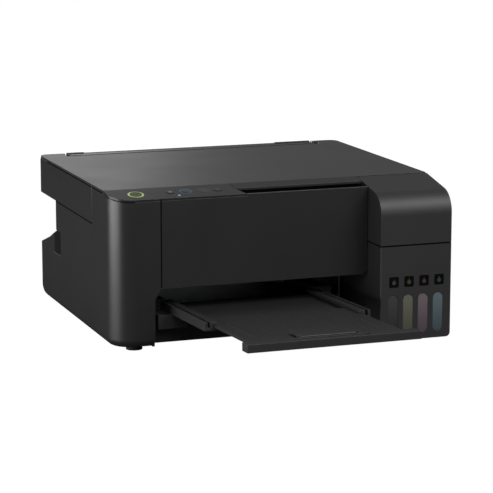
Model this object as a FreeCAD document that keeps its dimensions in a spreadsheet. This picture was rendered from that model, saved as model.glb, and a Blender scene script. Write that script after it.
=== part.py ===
import FreeCAD, Part
import math
import os
import re
import Sketcher

doc = FreeCAD.newDocument("InkjetPrinter")
Vector = FreeCAD.Vector
Rotation = FreeCAD.Rotation
Placement = FreeCAD.Placement

# Driving sizes in millimetres and degrees, one spreadsheet cell each.
sizes = {
    "case_width": 375.0,
    "case_depth": 347.0,
    "case_height": 179.0,
    "case_bottom": 12.0,
    "wall": 2.5,
    "gap": 0.3,
    "seam_gap": 0.7,
    "corner_front": 26.0,
    "toe_radius": 8.0,
    "corner_rear": 10.0,
    "heel_radius": 35.0,
    "scanner_height": 43.0,
    "side_seam": 78.4,
    "facet_run": 33.4,
    "facet_drop": 6.6,
    "pillar_width": 53.5,
    "panel_bottom": 75.0,
    "slot_start": 142.0,
    "slot_depth": 18.0,
    "notch_depth": 76.5,
    "notch_width": 31.5,
    "tank_width": 83.5,
    "tank_step": 37.1,
    "tank_length": 111.5,
    "tank_bottom": 6.2,
    "tank_seam": 111.3,
    "tank_pitch": 17.8,
    "tank_margin": 15.0,
    "tank_body_width": 16.6,
    "tank_body_top": 98.0,
    "cover_radius": 25.0,
    "cover_wall": 2.2,
    "window_width": 12.0,
    "window_low": 13.8,
    "window_high": 57.0,
    "cap_radius": 7.0,
    "foot_radius": 9.0,
    "lid_thick": 3.0,
    "glass_long": 297.0,
    "glass_short": 216.0,
    "glass_thick": 2.0,
    "scan_depth": 226.0,
    "scan_bar_width": 18.0,
    "scan_rod_radius": 4.0,
    "strip_margin": 33.7,
    "feed_tilt": 25.0,
    "support_width": 240.5,
    "support_length": 104.0,
    "support_thick": 2.0,
    "pick_radius": 18.0,
    "rod_radius": 5.0,
    "carriage_width": 90.0,
    "platen_top": 70.0,
    "feed_radius": 6.0,
    "exit_radius": 6.5,
    "star_radius": 5.0,
    "pulley_radius": 6.0,
    "belt_thick": 1.2,
    "belt_width": 6.0,
    "tray_reach": 202.5,
    "tray_slope": 2.9,
    "tray_low": 46.0,
    "tray_width": 184.0,
    "tray_centre": -30.0,
    "tray_thick": 3.0,
    "tray_rim": 9.0,
    "bar_height": 8.2,
    "bar_depth": 16.0,
    "extra_travel": 115.0,
    "ring_radius": 8.8,
    "key_radius": 4.6,
}

# Named lines and planes worked out from the driving sizes.
places = {
    "left": "-case_width / 2",
    "right": "case_width / 2",
    "mid": "tray_reach / 2",
    "nose": "mid - case_depth / 2",
    "rear": "mid + case_depth / 2",
    "front": "nose + tank_step",
    "crease": "front + facet_run",
    "seam": "front + side_seam",
    "ground": "case_bottom",
    "pan_top": "case_bottom + 3",
    "top": "case_height",
    "lid_low": "case_height - lid_thick",
    "deck": "case_height - scanner_height",
    "deck_low": "deck - seam_gap",
    "facet_low": "top - facet_drop",
    "facet_angle": "atan(facet_drop / facet_run)",
    "panel_left": "left + pillar_width",
    "bay_left": "panel_left - 7",
    "slot_left": "left + slot_start",
    "slot_back": "front + slot_depth",
    "tank_left": "right - tank_width",
    "tank_back": "nose + tank_length",
    "tank_first": "tank_left + tank_margin",
    "tank_front": "nose + wall",
    "notch_front": "rear - notch_depth",
    "notch_side": "case_width / 2 - notch_width",
    "scan_front": "crease + 5",
    "scan_back": "scan_front + scan_depth",
    "scan_top": "lid_low - 3",
    "glass_front": "scan_front + (scan_depth - glass_short) / 2",
    "strip_half": "case_width / 2 - strip_margin",
    "arm_side": "strip_half + 2.6",
    "lift_y": "rear - 31.5",
    "lift_z": "top - 11",
    "lid_pin_y": "rear - 3",
    "lid_pin_z": "lid_low",
    "notch_lid": "rear - 27",
    "support_y": "rear - 3.5",
    "support_left": "left + 55.2",
    "strip_front": "rear - 22.5",
    "pick_y": "rear - 57",
    "pick_z": "top - 71.2",
    "feed_y": "mid + 18",
    "feed_z": "platen_top - feed_radius",
    "exit_y": "mid - 55",
    "exit_z": "platen_top - exit_radius",
    "star_z": "platen_top + gap + star_radius",
    "star_top": "star_z + star_radius + 4",
    "frame_y": "mid + 52",
    "frame_left": "left + 35.5",
    "frame_right": "tank_left - 5",
    "rod_y": "mid + 36",
    "rod_z": "platen_top + 28",
    "belt_z": "platen_top + 48",
    "belt_y": "mid + 44",
    "drive_x": "right - 22.5",
    "idler_x": "left + 24",
    "home_x": "right - 57.5",
    "motor_y": "mid + 38",
    "motor_z": "pan_top + 21",
    "tray_left": "tray_centre - tray_width / 2",
    "tray_right": "tray_centre + tray_width / 2",
}

sheet = doc.addObject("Spreadsheet::Sheet", "dims")
for row, (alias, value) in enumerate(sizes.items(), start=1):
    sheet.set(f"A{row}", alias)
    sheet.set(f"B{row}", str(value))
    sheet.setAlias(f"B{row}", alias)
doc.recompute()

nodes = []
planes = {"x": "YZ_Plane", "y": "XZ_Plane", "z": "XY_Plane"}
turns = {"x": Rotation(Vector(0, 1, 0), 90), "y": Rotation(Vector(1, 0, 0), -90), "z": Rotation()}


def ex(text):
    """Expression text with every named size and place written out."""
    def swap(found):
        word = found.group(0)
        if word in places:
            return "(" + ex(places[word]) + ")"
        return "dims." + word if word in sizes else word
    return re.sub(r"[a-z][a-z_0-9]*", swap, str(text))


def num(text):
    """Value of an expression read from the sheet."""
    return float(sheet.evalExpression(ex(text)))


def node(label, item):
    """Mark an object as a finished piece of the printer."""
    item.Label = label
    nodes.append(item)
    return item


def box(name, x, y, z):
    """Block between three pairs of limits."""
    item = doc.addObject("Part::Box", name)
    for side, axis, (low, high) in zip(("Length", "Width", "Height"), "xyz", (x, y, z)):
        item.setExpression(side, ex(f"({high}) - ({low})"))
        item.setExpression("Placement.Base." + axis, ex(low))
    return item


def rod(name, axis, at, span, radius):
    """Cylinder along an axis; at gives the other two coordinates in order."""
    item = doc.addObject("Part::Cylinder", name)
    item.Placement = Placement(Vector(), turns[axis])
    item.setExpression("Radius", ex(radius))
    item.setExpression("Height", ex(f"({span[1]}) - ({span[0]})"))
    others = [other for other in "xyz" if other != axis]
    for other, value in zip(others, at):
        item.setExpression("Placement.Base." + other, ex(value))
    item.setExpression("Placement.Base." + axis, ex(span[0]))
    return item


def joined(name, *items):
    """One solid from touching or overlapping pieces."""
    item = doc.addObject("Part::MultiFuse", name)
    item.Shapes = list(items)
    item.Refine = True
    return item


def minus(name, base, *tools):
    """Base with every tool taken away."""
    item = doc.addObject("Part::Cut", name)
    item.Base = base
    item.Tool = tools[0] if len(tools) == 1 else group(name + "Tools", *tools)
    item.Refine = True
    return item


def shared(name, one, other):
    """Material common to two pieces."""
    item = doc.addObject("Part::Common", name)
    item.Base = one
    item.Tool = other
    item.Refine = True
    return item


def group(name, *items):
    """Several solids kept side by side in one piece."""
    item = doc.addObject("Part::Compound", name)
    item.Links = list(items)
    return item


def edges_at(shape, at):
    """Numbers of the edges that lie at the given coordinates."""
    found = []
    for number, edge in enumerate(shape.Edges, start=1):
        ends = edge.BoundBox
        limits = {"x": (ends.XMin, ends.XMax), "y": (ends.YMin, ends.YMax), "z": (ends.ZMin, ends.ZMax)}
        if all(abs(limit - num(value)) < 0.02 for key, value in at.items() for limit in limits[key]):
            found.append(number)
    return found


def softened(name, base, *picks):
    """Round chosen edges; each pick is the edge's coordinates and a radius."""
    doc.recompute()
    item = doc.addObject("Part::Fillet", name)
    item.Base = base
    item.Edges = [(edge, num(radius), num(radius))
                  for at, radius in picks for edge in edges_at(base.Shape, at)]
    return item


def prism(name, axis, points, span, rounds=()):
    """Outline padded along an axis; rounds pairs an outline point with a radius."""
    body = doc.addObject("PartDesign::Body", name)
    outline = body.newObject("Sketcher::SketchObject", name + "Outline")
    role = planes[axis]
    outline.AttachmentSupport = [(next(f for f in body.Origin.OriginFeatures if f.Role == role), "")]
    outline.MapMode = "FlatFace"
    spots = [Vector(num(u), num(v), 0) for u, v in points]
    count = len(spots)
    for index in range(count):
        outline.addGeometry(Part.LineSegment(spots[index], spots[(index + 1) % count]))
    for index in range(count):
        outline.addConstraint(Sketcher.Constraint("Coincident", index, 2, (index + 1) % count, 1))
    for index, (u, v) in enumerate(points):
        for kind, text, value in (("DistanceX", u, spots[index].x), ("DistanceY", v, spots[index].y)):
            key = outline.addConstraint(Sketcher.Constraint(kind, -1, 1, index, 1, value))
            outline.setExpression(f"Constraints[{key}]", ex(text))
    pad = body.newObject("PartDesign::Pad", name + "Pad")
    pad.Profile = outline
    pad.setExpression("Length", ex(f"({span[1]}) - ({span[0]})"))
    body.setExpression("Placement.Base." + axis, ex(span[1] if axis == "y" else span[0]))
    outline.Visibility = False
    across = {"x": "yz", "y": "xz", "z": "xy"}[axis]
    last = pad
    for index, radius in rounds:
        doc.recompute()
        at = dict(zip(across, points[index]))
        bend = body.newObject("PartDesign::Fillet", f"{name}Bend{index}")
        bend.Base = (last, [f"Edge{edge}" for edge in edges_at(last.Shape, at)])
        bend.setExpression("Radius", ex(radius))
        last = bend
    return body


def leaning(name, points, span, rounds=()):
    """Side outline (y, z) padded along x."""
    return prism(name, "x", points, span, rounds)


def loop_belt(name, axis, one, other, span):
    """Flat belt round two wheels; each wheel is its centre (u, v) and radius."""
    item = doc.addObject("Part::Feature", name)
    half = num(span[0]), num(span[1])
    rings = []
    for extra in (num("gap"), num("gap + belt_thick")):
        (u1, v1, r1), (u2, v2, r2) = ([num(value) for value in wheel] for wheel in (one, other))
        r1 += extra
        r2 += extra
        apart = math.hypot(u2 - u1, v2 - v1)
        base = math.atan2(v2 - v1, u2 - u1)
        lean = math.acos((r1 - r2) / apart)
        spots = []
        for centre_u, centre_v, radius in ((u1, v1, r1), (u2, v2, r2)):
            for angle in (base + lean, base - lean):
                spots.append(Vector(centre_u + radius * math.cos(angle),
                                    centre_v + radius * math.sin(angle), 0))
        back = Vector(u1 - r1 * math.cos(base), v1 - r1 * math.sin(base), 0)
        fore = Vector(u2 + r2 * math.cos(base), v2 + r2 * math.sin(base), 0)
        rings.append(Part.Wire([Part.Arc(spots[0], back, spots[1]).toShape(),
                                Part.LineSegment(spots[1], spots[3]).toShape(),
                                Part.Arc(spots[3], fore, spots[2]).toShape(),
                                Part.LineSegment(spots[2], spots[0]).toShape()]))
    band = Part.Face(rings[1]).cut(Part.Face(rings[0])).extrude(Vector(0, 0, half[1] - half[0]))
    if axis == "x":
        turn = Rotation(Vector(0, 1, 0), Vector(0, 0, 1), Vector(1, 0, 0))
        item.Shape = band
        item.Placement = Placement(Vector(half[0], 0, 0), turn)
    else:
        item.Shape = band
        item.Placement = Placement(Vector(0, half[1], 0), Rotation(Vector(1, 0, 0), 90))
    return item


def facet_at(y):
    """Height of the sloping front facet at a depth."""
    return f"top - facet_drop * (crease - ({y})) / facet_run"


def on_slope(u, w):
    """Depth and height of a point of the tray's slope."""
    return (f"front - ({u}) * cos(tray_slope) + ({w}) * sin(tray_slope)",
            f"tray_low + ({u}) * sin(tray_slope) + ({w}) * cos(tray_slope)")


def sloped(name, u, w, x):
    """Block in the tray's own slope: u runs out to the front, w square to the slope."""
    item = doc.addObject("Part::Box", name)
    item.Placement = Placement(Vector(), Rotation(Vector(1, 0, 0), 1))
    item.setExpression("Length", ex(f"({x[1]}) - ({x[0]})"))
    item.setExpression("Width", ex(f"({u[1]}) - ({u[0]})"))
    item.setExpression("Height", ex(f"({w[1]}) - ({w[0]})"))
    item.setExpression("Placement.Rotation.Angle", ex("-tray_slope"))
    item.setExpression("Placement.Base.x", ex(x[0]))
    for axis, value in zip("yz", on_slope(u[1], w[0])):
        item.setExpression("Placement.Base." + axis, ex(value))
    return item


def mirrored(text):
    """The same distance on the other side of the centre line."""
    return f"-({text})"


def both_sides(name, x, y, z):
    """Pair of equal blocks, one on each side of the centre line."""
    return [box(name + "Right", x, y, z), box(name + "Left", (mirrored(x[1]), mirrored(x[0])), y, z)]


# Main case
hull_side = leaning("hullSide", [("front", "ground"), ("rear", "ground"), ("rear", "deck_low"),
                                 ("front", "deck_low")], ("left", "right"), [(1, "heel_radius")])
hull_block = box("hullBlock", ("left", "right"), ("front", "rear"), ("ground - 5", "deck + 5"))
hull_plan = softened("hullPlan", hull_block, ({"x": "left", "y": "front"}, "corner_front"),
                     ({"x": "left", "y": "rear"}, "corner_rear"),
                     ({"x": "right", "y": "rear"}, "corner_rear"))
toe_plan = softened("toePlan", box("toeBox", ("left", "right"), ("front", "rear + 40"),
                                   ("ground", "deck + 5")),
                    ({"x": "left", "y": "front"}, "corner_front"))
toe_block = softened("toeBlock", toe_plan, ({"x": "left", "z": "ground"}, "toe_radius"),
                     ({"x": "right", "z": "ground"}, "toe_radius"))
hull = shared("hull", shared("hullUpright", hull_side, hull_plan), toe_block)
core_side = leaning("coreSide", [("front + wall", "ground - 5"), ("rear - heel_radius - 1", "ground - 5"),
                                 ("rear - heel_radius - 1", "ground + wall"),
                                 ("rear - wall", "ground + wall"),
                                 ("rear - wall", "deck + 5"), ("front + wall", "deck + 5")],
                    ("left + wall", "right - wall"), [(3, "heel_radius - wall")])
core_block = box("coreBlock", ("left + wall", "right - wall"), ("front + wall", "rear - wall"),
                 ("ground - 6", "deck + 6"))
core_plan = softened("corePlan", core_block,
                     ({"x": "left + wall", "y": "front + wall"}, "corner_front - wall"),
                     ({"x": "left + wall", "y": "rear - wall"}, "corner_rear - wall"),
                     ({"x": "right - wall", "y": "rear - wall"}, "corner_rear - wall"))
core = shared("core", core_side, core_plan)
toe_strips = [shared("toe" + side, hull, box("toeTool" + side, x, y, ("ground", "ground + toe_radius")))
              for side, x, y in (("Left", ("left", "left + toe_radius + 1"), ("front",
                                                                              "rear - heel_radius - 1")),
                                 ("Right", ("right - toe_radius - 1", "right"),
                                  ("tank_back", "rear - heel_radius - 1")),
                                 ("Front", ("left", "bay_left"), ("front", "front + 24")))]
shell = minus("shell", hull, core)


def notch_tool(name, side, inset):
    """Rear corner notch; inset grows it into the case by that much."""
    outline = [(f"notch_front - {inset}", "deck + 4"),
               (f"notch_front - {inset}", f"ground + 89 - {inset}"),
               (f"rear - 47.5 - {inset} / 2", f"ground + 77 - {inset}"),
               ("rear + 1", f"ground + 62 - {inset}"),
               ("rear + 1", "deck + 4")]
    inner = f"notch_side - {inset} * 0.8"
    span = (inner, "right + 1") if side == "right" else ("left - 1", mirrored(inner))
    return leaning(name, outline, span)


liners = [shared("liner" + side.title(), hull, notch_tool("linerTool" + side.title(), side, "wall"))
          for side in ("left", "right")]
notches = [notch_tool("notch" + side.title(), side, "0") for side in ("left", "right")]
bay_gap = prism("bayGap", "y", [("panel_left", "deck + 4"), ("panel_left", "panel_bottom"),
                                ("panel_left - 1", "panel_bottom - 2"), ("bay_left", "panel_bottom - 12"),
                                ("bay_left", "ground + 6"), ("bay_left - 5.5", "ground - 1"),
                                ("right + 1", "ground - 1"), ("right + 1", "deck + 4")],
                ("front - 1", "front + wall"))
tank_room = box("tankRoom", ("tank_left", "right + 1"), ("nose", "tank_back"), ("ground - 1", "deck + 4"))
relief = prism("cableRelief", "z", [("left - 1", "notch_front - 20"), ("left + 1.6", "notch_front - 20"),
                                    ("left - 0.5", "notch_front + 24"), ("left - 1", "notch_front + 24")],
               ("ground + 62", "ground + 90"))
inlet_gap = box("inletGap", ("left + 9", "left + 29"), ("notch_front - wall - 1", "notch_front + 1"),
                ("ground + 92", "ground + 103"))
usb_gap = box("usbGap", ("left + wall + 1.6", "left + 16.5"),
              ("notch_front - wall - 1", "notch_front + 1"),
              ("ground + 107", "ground + 118"))
vents = [box(f"vent{index}", (f"80 + {index} * 7", f"83 + {index} * 7"), ("rear - wall - 1", "rear + 1"),
             ("ground + 50", "ground + 90")) for index in range(8)]
bay_wall = box("bayWall", ("bay_left - wall", "bay_left"), ("front + wall", "tank_back"),
               ("ground", "deck_low"))
tower_block = box("towerBlock", ("left", "panel_left"), ("front", "seam"), ("deck_low - 4", "top"))
tower_hollow = box("towerHollow", ("left + wall", "panel_left + 1"), ("front + wall", "seam + 1"),
                   ("deck_low - 5", "top + 1"))
tower_soft = softened("towerSoft", tower_block, ({"x": "left", "y": "front"}, "corner_front"))
hollow_soft = softened("hollowSoft", tower_hollow, ({"x": "left + wall", "y": "front + wall"},
                                                    "corner_front - wall"))
tower_roof = leaning("towerRoof", [("front - 1", "deck_low - 4"),
                                   ("front - 1", f"{facet_at('front - 1')} - wall"),
                                   ("crease", "lid_low - gap"), ("seam", "lid_low - gap"),
                                   ("seam", "deck_low - 4")],
                     ("left - 1", "panel_left + 1"))
tower = shared("tower", minus("towerShell", tower_soft, hollow_soft), tower_roof)
wing = leaning("wing", [("crease - 1.8", "tank_seam + gap"), ("seam", "tank_seam + gap"),
                        ("seam", "lid_low - gap"),
                        ("crease + 1.4", "lid_low - gap"), ("crease + 1.4", "top - 26"),
                        ("crease - 1.8", "top - 34")],
               ("right - wall", "right"))
case_body = joined("caseBody", shell, *toe_strips, *liners, bay_wall)
case_cut = minus("caseCut", case_body, *notches, bay_gap, tank_room, relief, inlet_gap, usb_gap, *vents)
node("main_case", joined("mainCase", case_cut, tower, wing))

# Base pan with the tray rails
pan_plate = box("panPlate", ("left + toe_radius + 1", "right - toe_radius - 1"),
                ("front + 18", "rear - heel_radius - 1"),
                ("ground", "pan_top"))
pan_skirt = box("panSkirt", ("bay_left", "tank_left"), ("front + 18", "front + 20.5"),
                ("ground", "ground + 16"))


def rail(name, side):
    """Tray rail beside the tray: block, outer wall and lip over the tray's rim."""
    outer = "tray_left - 15" if side == "left" else "tray_right + 15"
    inner = "tray_left + 18" if side == "left" else "tray_right - 18"
    edge = "tray_left - gap" if side == "left" else "tray_right + gap"
    lip = "tray_left + 4" if side == "left" else "tray_right - 4"
    wide = (outer, inner) if side == "left" else (inner, outer)
    tall = (outer, edge) if side == "left" else (edge, outer)
    over = (outer, lip) if side == "left" else (lip, outer)
    pieces = [sloped(name + "Bed", ("-150", "-2"), ("-15.5", "-gap"), wide),
              sloped(name + "Wall", ("-150", "-40"), ("-gap", "tray_rim + 2.3"), tall),
              sloped(name + "Lip", ("-150", "-40"), ("tray_rim + gap", "tray_rim + 2.3"), over),
              box(name + "Leg", wide, ("front + 30", "front + 140"), ("ground", "tray_low - 17"))]
    return pieces


pan_tank = box("panTank", ("tank_left", "right"), ("nose", "tank_back"), ("ground - 1", "pan_top + 1"))
pan_bay = box("panBay", ("left", "bay_left"), ("front", "front + 24"), ("ground - 1", "pan_top + 1"))
pan_wall = box("panWall", ("bay_left - wall", "bay_left"), ("front", "tank_back"),
               ("ground - 1", "pan_top + 1"))
pan_cut = minus("panCut", pan_plate, pan_tank, pan_bay, pan_wall)
node("base_pan", joined("basePan", pan_cut, pan_skirt, *rail("railLeft", "left"),
                        *rail("railRight", "right")))

# Feet
feet = [rod(f"foot{index}", "z", (x, y), ("0", height), "foot_radius")
        for index, (x, y, height) in enumerate((("left + 37", "front + 48", "ground"),
                                                ("left + 37", "rear - 62", "ground"),
                                                ("right - 37", "rear - 62", "ground"),
                                                ("right - 37", "front + 28", "tank_bottom")))]
node("rubber_feet", group("rubberFeet", *feet))

# Front panel with the shelf of the finger slot
panel_end = "tank_left - 0.8"
panel_front = softened("panelFront", box("panelBlock", ("panel_left + 0.7", panel_end),
                                         ("front", "front + wall"),
                                         ("panel_bottom", "facet_low - wall")),
                       ({"x": panel_end, "z": "panel_bottom"}, "6"))
panel_lip = box("panelLip", ("slot_left + 9.2", panel_end), ("front", "front + wall"),
                ("facet_low - wall", "facet_low"))
panel_shelf = box("panelShelf", ("slot_left", panel_end), ("front + wall", "crease + 1"),
                  ("top - 31", "top - 28.5"))
panel_tab = box("panelTab", ("panel_left - 6.5", "panel_left + 6"), ("front + wall", "front + wall + 2"),
                ("panel_bottom + 6", "deck + 20"))
node("front_panel", joined("frontPanel", panel_front, panel_lip, panel_shelf, panel_tab))

# Control panel on the front facet
panel_plan = prism("panelPlan", "z", [("left", "front"), ("slot_left + 8.5", "front"),
                                      ("slot_left", "slot_back"),
                                      ("slot_left", "crease + 0.5"), ("left", "crease + 0.5")],
                   ("deck", "top + 5"), [(0, "corner_front")])
panel_skin = leaning("panelSkin", [("front", "facet_low"), ("crease", "top"), ("crease + 0.5", "top"),
                                   ("crease + 0.5", "lid_low - gap"), ("crease", "lid_low - gap"),
                                   ("front", "facet_low - wall")], ("left", "slot_left + 9"))
panel_plate = shared("panelPlate", panel_plan, panel_skin)


def on_facet(name, x, y, low, high, radius):
    """Round piece square to the facet, from low to high above its surface."""
    item = doc.addObject("Part::Cylinder", name)
    item.Placement = Placement(Vector(), Rotation(Vector(1, 0, 0), 1))
    item.setExpression("Radius", ex(radius))
    item.setExpression("Height", ex(f"({high}) - ({low})"))
    item.setExpression("Placement.Rotation.Angle", ex("facet_angle"))
    item.setExpression("Placement.Base.x", ex(x))
    item.setExpression("Placement.Base.y", ex(f"({y}) - ({low}) * sin(facet_angle)"))
    item.setExpression("Placement.Base.z", ex(f"{facet_at(y)} + ({low}) * cos(facet_angle)"))
    return item


power_at = ("left + 31", "front + 16.4")
keys = {"network_key": "left + 69.5", "copy_key": "left + 87", "stop_key": "left + 123"}
key_y = "front + 17.5"
key_holes = [on_facet(label + "Hole", x, key_y, "-8", "4", "key_radius + gap") for label,
             x in keys.items()]
ring_hole = on_facet("ringHole", *power_at, "-8", "4", "ring_radius")
node("control_panel", minus("controlPanel", panel_plate, ring_hole, *key_holes))
ring_bore = on_facet("ringBore", *power_at, "-8", "4", "ring_radius - 1.9")
node("power_ring", minus("powerRing", on_facet("ringBody", *power_at, "-wall", "0", "ring_radius"),
                         ring_bore))
node("power_button", on_facet("powerButton", *power_at, "-3", "0.6", "ring_radius - 1.9 - gap"))
for label, x in keys.items():
    node(label, on_facet(label + "Body", x, key_y, "-3", "0.4", "key_radius"))

# Ink tank unit
tank_block = box("tankBlock", ("tank_left", "right"), ("nose", "tank_back"), ("tank_bottom", "tank_seam"))
tank_soft = softened("tankSoft", tank_block, ({"x": "right", "z": "tank_bottom"}, "5"))
tank_shape = softened("tankShape", tank_soft, ({"x": "tank_left", "y": "nose"}, "2"))
tank_hollow = box("tankHollow", ("tank_left + wall", "right - wall"), ("nose + wall", "tank_back - wall"),
                  ("tank_bottom + wall", "tank_seam + 1"))


def capsule(name, index, half, low, high, depth):
    """Upright slot with round ends in the tank unit's front."""
    x = f"tank_first + {index} * tank_pitch"
    return joined(name, box(name + "Web", (f"{x} - {half}", f"{x} + {half}"), depth,
                            (f"{low} + {half}", f"{high} - {half}")),
                  rod(name + "Low", "y", (x, f"{low} + {half}"), depth, half),
                  rod(name + "High", "y", (x, f"{high} - {half}"), depth, half))


window_gaps = [capsule(f"windowGap{index}", index, "window_width / 2", "window_low", "window_high",
                       ("nose - 1", "nose + wall + 1")) for index in range(4)]
tube_gaps = [rod(f"tubeGap{index}", "y", (f"tank_first + {index} * tank_pitch", "tank_bottom + 16"),
                 ("tank_back - wall - 1", "tank_back + 1"), "2") for index in range(4)]
hinge_y = "crease - 16"
hinge_z = "top - 10"
arm_outline = [("crease - 20", "tank_seam - 20"), ("crease - 12", "tank_seam - 20"),
               ("crease - 12", hinge_z),
               ("crease - 13.5", f"{hinge_z} + 3.3"), ("crease - 18.5", f"{hinge_z} + 3.3"),
               ("crease - 20", hinge_z)]
arms = [leaning("tankArmLeft", arm_outline, ("tank_left + wall + 1", "tank_left + wall + 4")),
        leaning("tankArmRight", arm_outline, ("right - wall - 4", "right - wall - 1"))]
arm_feet = [box("armFootLeft", ("tank_left + 1", "tank_left + wall + 4"), ("crease - 20", "crease - 12"),
                ("tank_seam - 20", "tank_seam - 8")),
            box("armFootRight", ("right - wall - 4", "right - 1"), ("crease - 20", "crease - 12"),
                ("tank_seam - 20", "tank_seam - 8"))]
arm_bore = rod("armBore", "x", (hinge_y, hinge_z), ("tank_left", "right"), "1.56")
tank_shell = minus("tankShell", tank_shape, tank_hollow)
tank_whole = joined("tankWhole", tank_shell, *arm_feet, *arms)
node("tank_housing", minus("tankHousing", tank_whole, *window_gaps, *tube_gaps, arm_bore))
windows = [capsule(f"window{index}", index, "window_width / 2", "window_low", "window_high",
                   ("nose + 0.5", "nose + wall")) for index in range(4)]
node("tank_windows", group("tankWindows", *windows))

colours = ("black", "yellow", "magenta", "cyan")
neck_y = "nose + 36"
cap_y = "nose + 60"
cap_z = "tank_body_top + 15.5"
tank_low = "tank_bottom + wall"
for index, colour in enumerate(colours):
    x = f"tank_first + {index} * tank_pitch"
    name = "tank" + colour.title()
    body = box(name + "Body", (f"{x} - tank_body_width / 2", f"{x} + tank_body_width / 2"),
               ("tank_front", "tank_back - wall - 9"), (tank_low, "tank_body_top"))
    neck = rod(name + "Neck", "z", (x, neck_y), ("tank_body_top", "tank_body_top + 10"), "6")
    ears = [box(f"{name}Ear{side}", (f"{x} + {low}", f"{x} + {high}"), (f"{cap_y} - 3", f"{cap_y} + 3"),
                ("tank_body_top", f"{cap_z} + 3")) for side, low,
            high in (("A", "-7", "-4.4"), ("B", "4.4", "7"))]
    ear_bore = rod(name + "EarBore", "x", (cap_y, cap_z), (f"{x} - 8", f"{x} + 8"), "1.56")
    whole = joined(name + "Whole", body, neck, *ears)
    node("ink_tank_" + colour, minus(name + "Piece", whole, ear_bore))
    disc = rod(name + "CapDisc", "z", (x, neck_y), ("tank_body_top + 10 + gap", "tank_body_top + 16"),
               "cap_radius")
    arm = box(name + "CapArm", (f"{x} - 3", f"{x} + 3"), (neck_y, cap_y),
              (f"{cap_z} - 2", f"{cap_z} + 0.5"))
    knuckle = rod(name + "CapKnuckle", "x", (cap_y, cap_z), (f"{x} - 4", f"{x} + 4"), "2.8")
    pin = rod(name + "CapPin", "x", (cap_y, cap_z), (f"{x} - 6.9", f"{x} + 6.9"), "1.5")
    node("tank_cap_" + colour, joined(name + "Cap", disc, arm, knuckle, pin))

tubes = []
for index in range(4):
    x = f"tank_first + {index} * tank_pitch"
    height = f"tank_seam + 1 + {index} * 4"
    run_y = "tank_back + 3"
    bend_low = "tank_bottom + 16"
    pieces = [rod(f"tubeOut{index}", "y", (x, bend_low), ("tank_back - wall - 9", run_y), "1.6"),
              rod(f"tubeRise{index}", "z", (x, run_y), (bend_low, height), "1.6"),
              rod(f"tubeRun{index}", "x", (run_y, height), ("20", x), "1.6")]
    tubes.append(joined(f"tube{index}", *pieces))
clip = box("tubeClip", ("10", "20"), ("tank_back + 1", "tank_back + 5"),
           ("tank_seam - 2", "tank_seam + 16"))
clip_leg = box("tubeClipLeg", ("10", "14"), ("tank_back + 1", "tank_back + 5"),
               ("star_top", "tank_seam - 2"))
node("ink_tubes", group("inkTubes", joined("tubeSet", *tubes, clip, clip_leg)))


def cover_solid(name, inset):
    """Tank cover outline; inset shrinks it by the wall on every closed side."""
    back = "crease - 2.2"
    shift = f"{inset} * 1.02"
    low = "tank_seam + 1" if inset == "0" else "tank_seam - 5"
    rear_end = back if inset == "0" else "crease + 5"
    return leaning(name, [(f"nose + {inset}", low), ("crease - 20", low), (rear_end, f"{low} + 3"),
                          (rear_end, f"{facet_at(rear_end)} - {shift}"),
                          (f"nose + {inset}", f"{facet_at('nose + ' + inset)} - {shift}")],
                   (f"tank_left + {inset}", f"right - {inset}"), [(4, f"cover_radius - {inset}")])


cover_skin = minus("coverSkin", cover_solid("coverOuter", "0"), cover_solid("coverInner", "cover_wall"))
cover_pins = [rod("coverPinLeft", "x", (hinge_y, hinge_z), ("tank_left + 0.5", "tank_left + wall + 3.9"),
                  "1.5"),
              rod("coverPinRight", "x", (hinge_y, hinge_z), ("right - wall - 3.9", "right - 0.5"), "1.5")]
node("tank_cover", joined("tankCover", cover_skin, *cover_pins))

# Scanner unit
scan_side = leaning("scanSide", [("seam + 3", "deck"), ("rear", "deck"), ("rear", "lid_low - gap"),
                                 ("seam + 0.6", "lid_low - gap"), ("seam + 0.6", "deck + 20")],
                    ("left", "right"))
scan_soft = softened("scanSoft", scan_side, ({"x": "left", "y": "rear"}, "corner_rear"),
                     ({"x": "right", "y": "rear"}, "corner_rear"))
scan_nose = box("scanNose", ("left + 4", "right - 4"), ("scan_front", "seam + 6"),
                ("deck", "lid_low - gap"))
scan_block = joined("scanBlock", scan_soft, scan_nose)
rear_room = box("scanRearRoom", (mirrored("arm_side"), "arm_side"), ("scan_back", "rear + 1"),
                ("deck - 1", "top"))
cavity_nose = box("cavityNose", ("left + 6.5", "right - 6.5"), ("scan_front + 2", "scan_back - 2"),
                  ("deck + 2", "top"))
cavity_side = box("cavitySide", ("left + 3", "right - 3"), ("seam + 3", "scan_back - 2"),
                  ("deck + 2", "scan_top - 2"))
bezel_room = box("bezelRoom", ("left + 4.5", "right - 4.5"), ("scan_front - 1", "scan_back"),
                 ("scan_top - 2", "top"))
nose_room = box("noseRoom", ("left - 1", "right + 1"), ("scan_front - 1", "seam + 0.6"),
                ("scan_top - 2", "top"))
arm_rooms = both_sides("armRoom", ("arm_side + 2.4", "right - 3"), ("scan_back + 2", "rear - wall"),
                       ("deck - 1", "scan_top - 2"))
barrel_rooms = both_sides("barrelRoom", ("arm_side + 2.5", "arm_side + 20"), ("lid_pin_y - 4", "rear + 1"),
                          ("lid_pin_z - 3.5", "top"))
ears = both_sides("lidEar", ("arm_side", "arm_side + 2.4"), ("lid_pin_y - 3", "rear"),
                  ("scan_top - 2", "lid_pin_z + 2.6"))
lift_bore = rod("liftBore", "x", ("lift_y", "lift_z"), (mirrored("arm_side + 5"), "arm_side + 5"), "4.06")
lid_bore = rod("lidBore", "x", ("lid_pin_y", "lid_pin_z"), (mirrored("arm_side + 4"), "arm_side + 4"),
               "1.56")
scan_cut = minus("scanCut", scan_block, rear_room, cavity_nose, cavity_side, bezel_room, nose_room,
                 *arm_rooms, *barrel_rooms)
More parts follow.
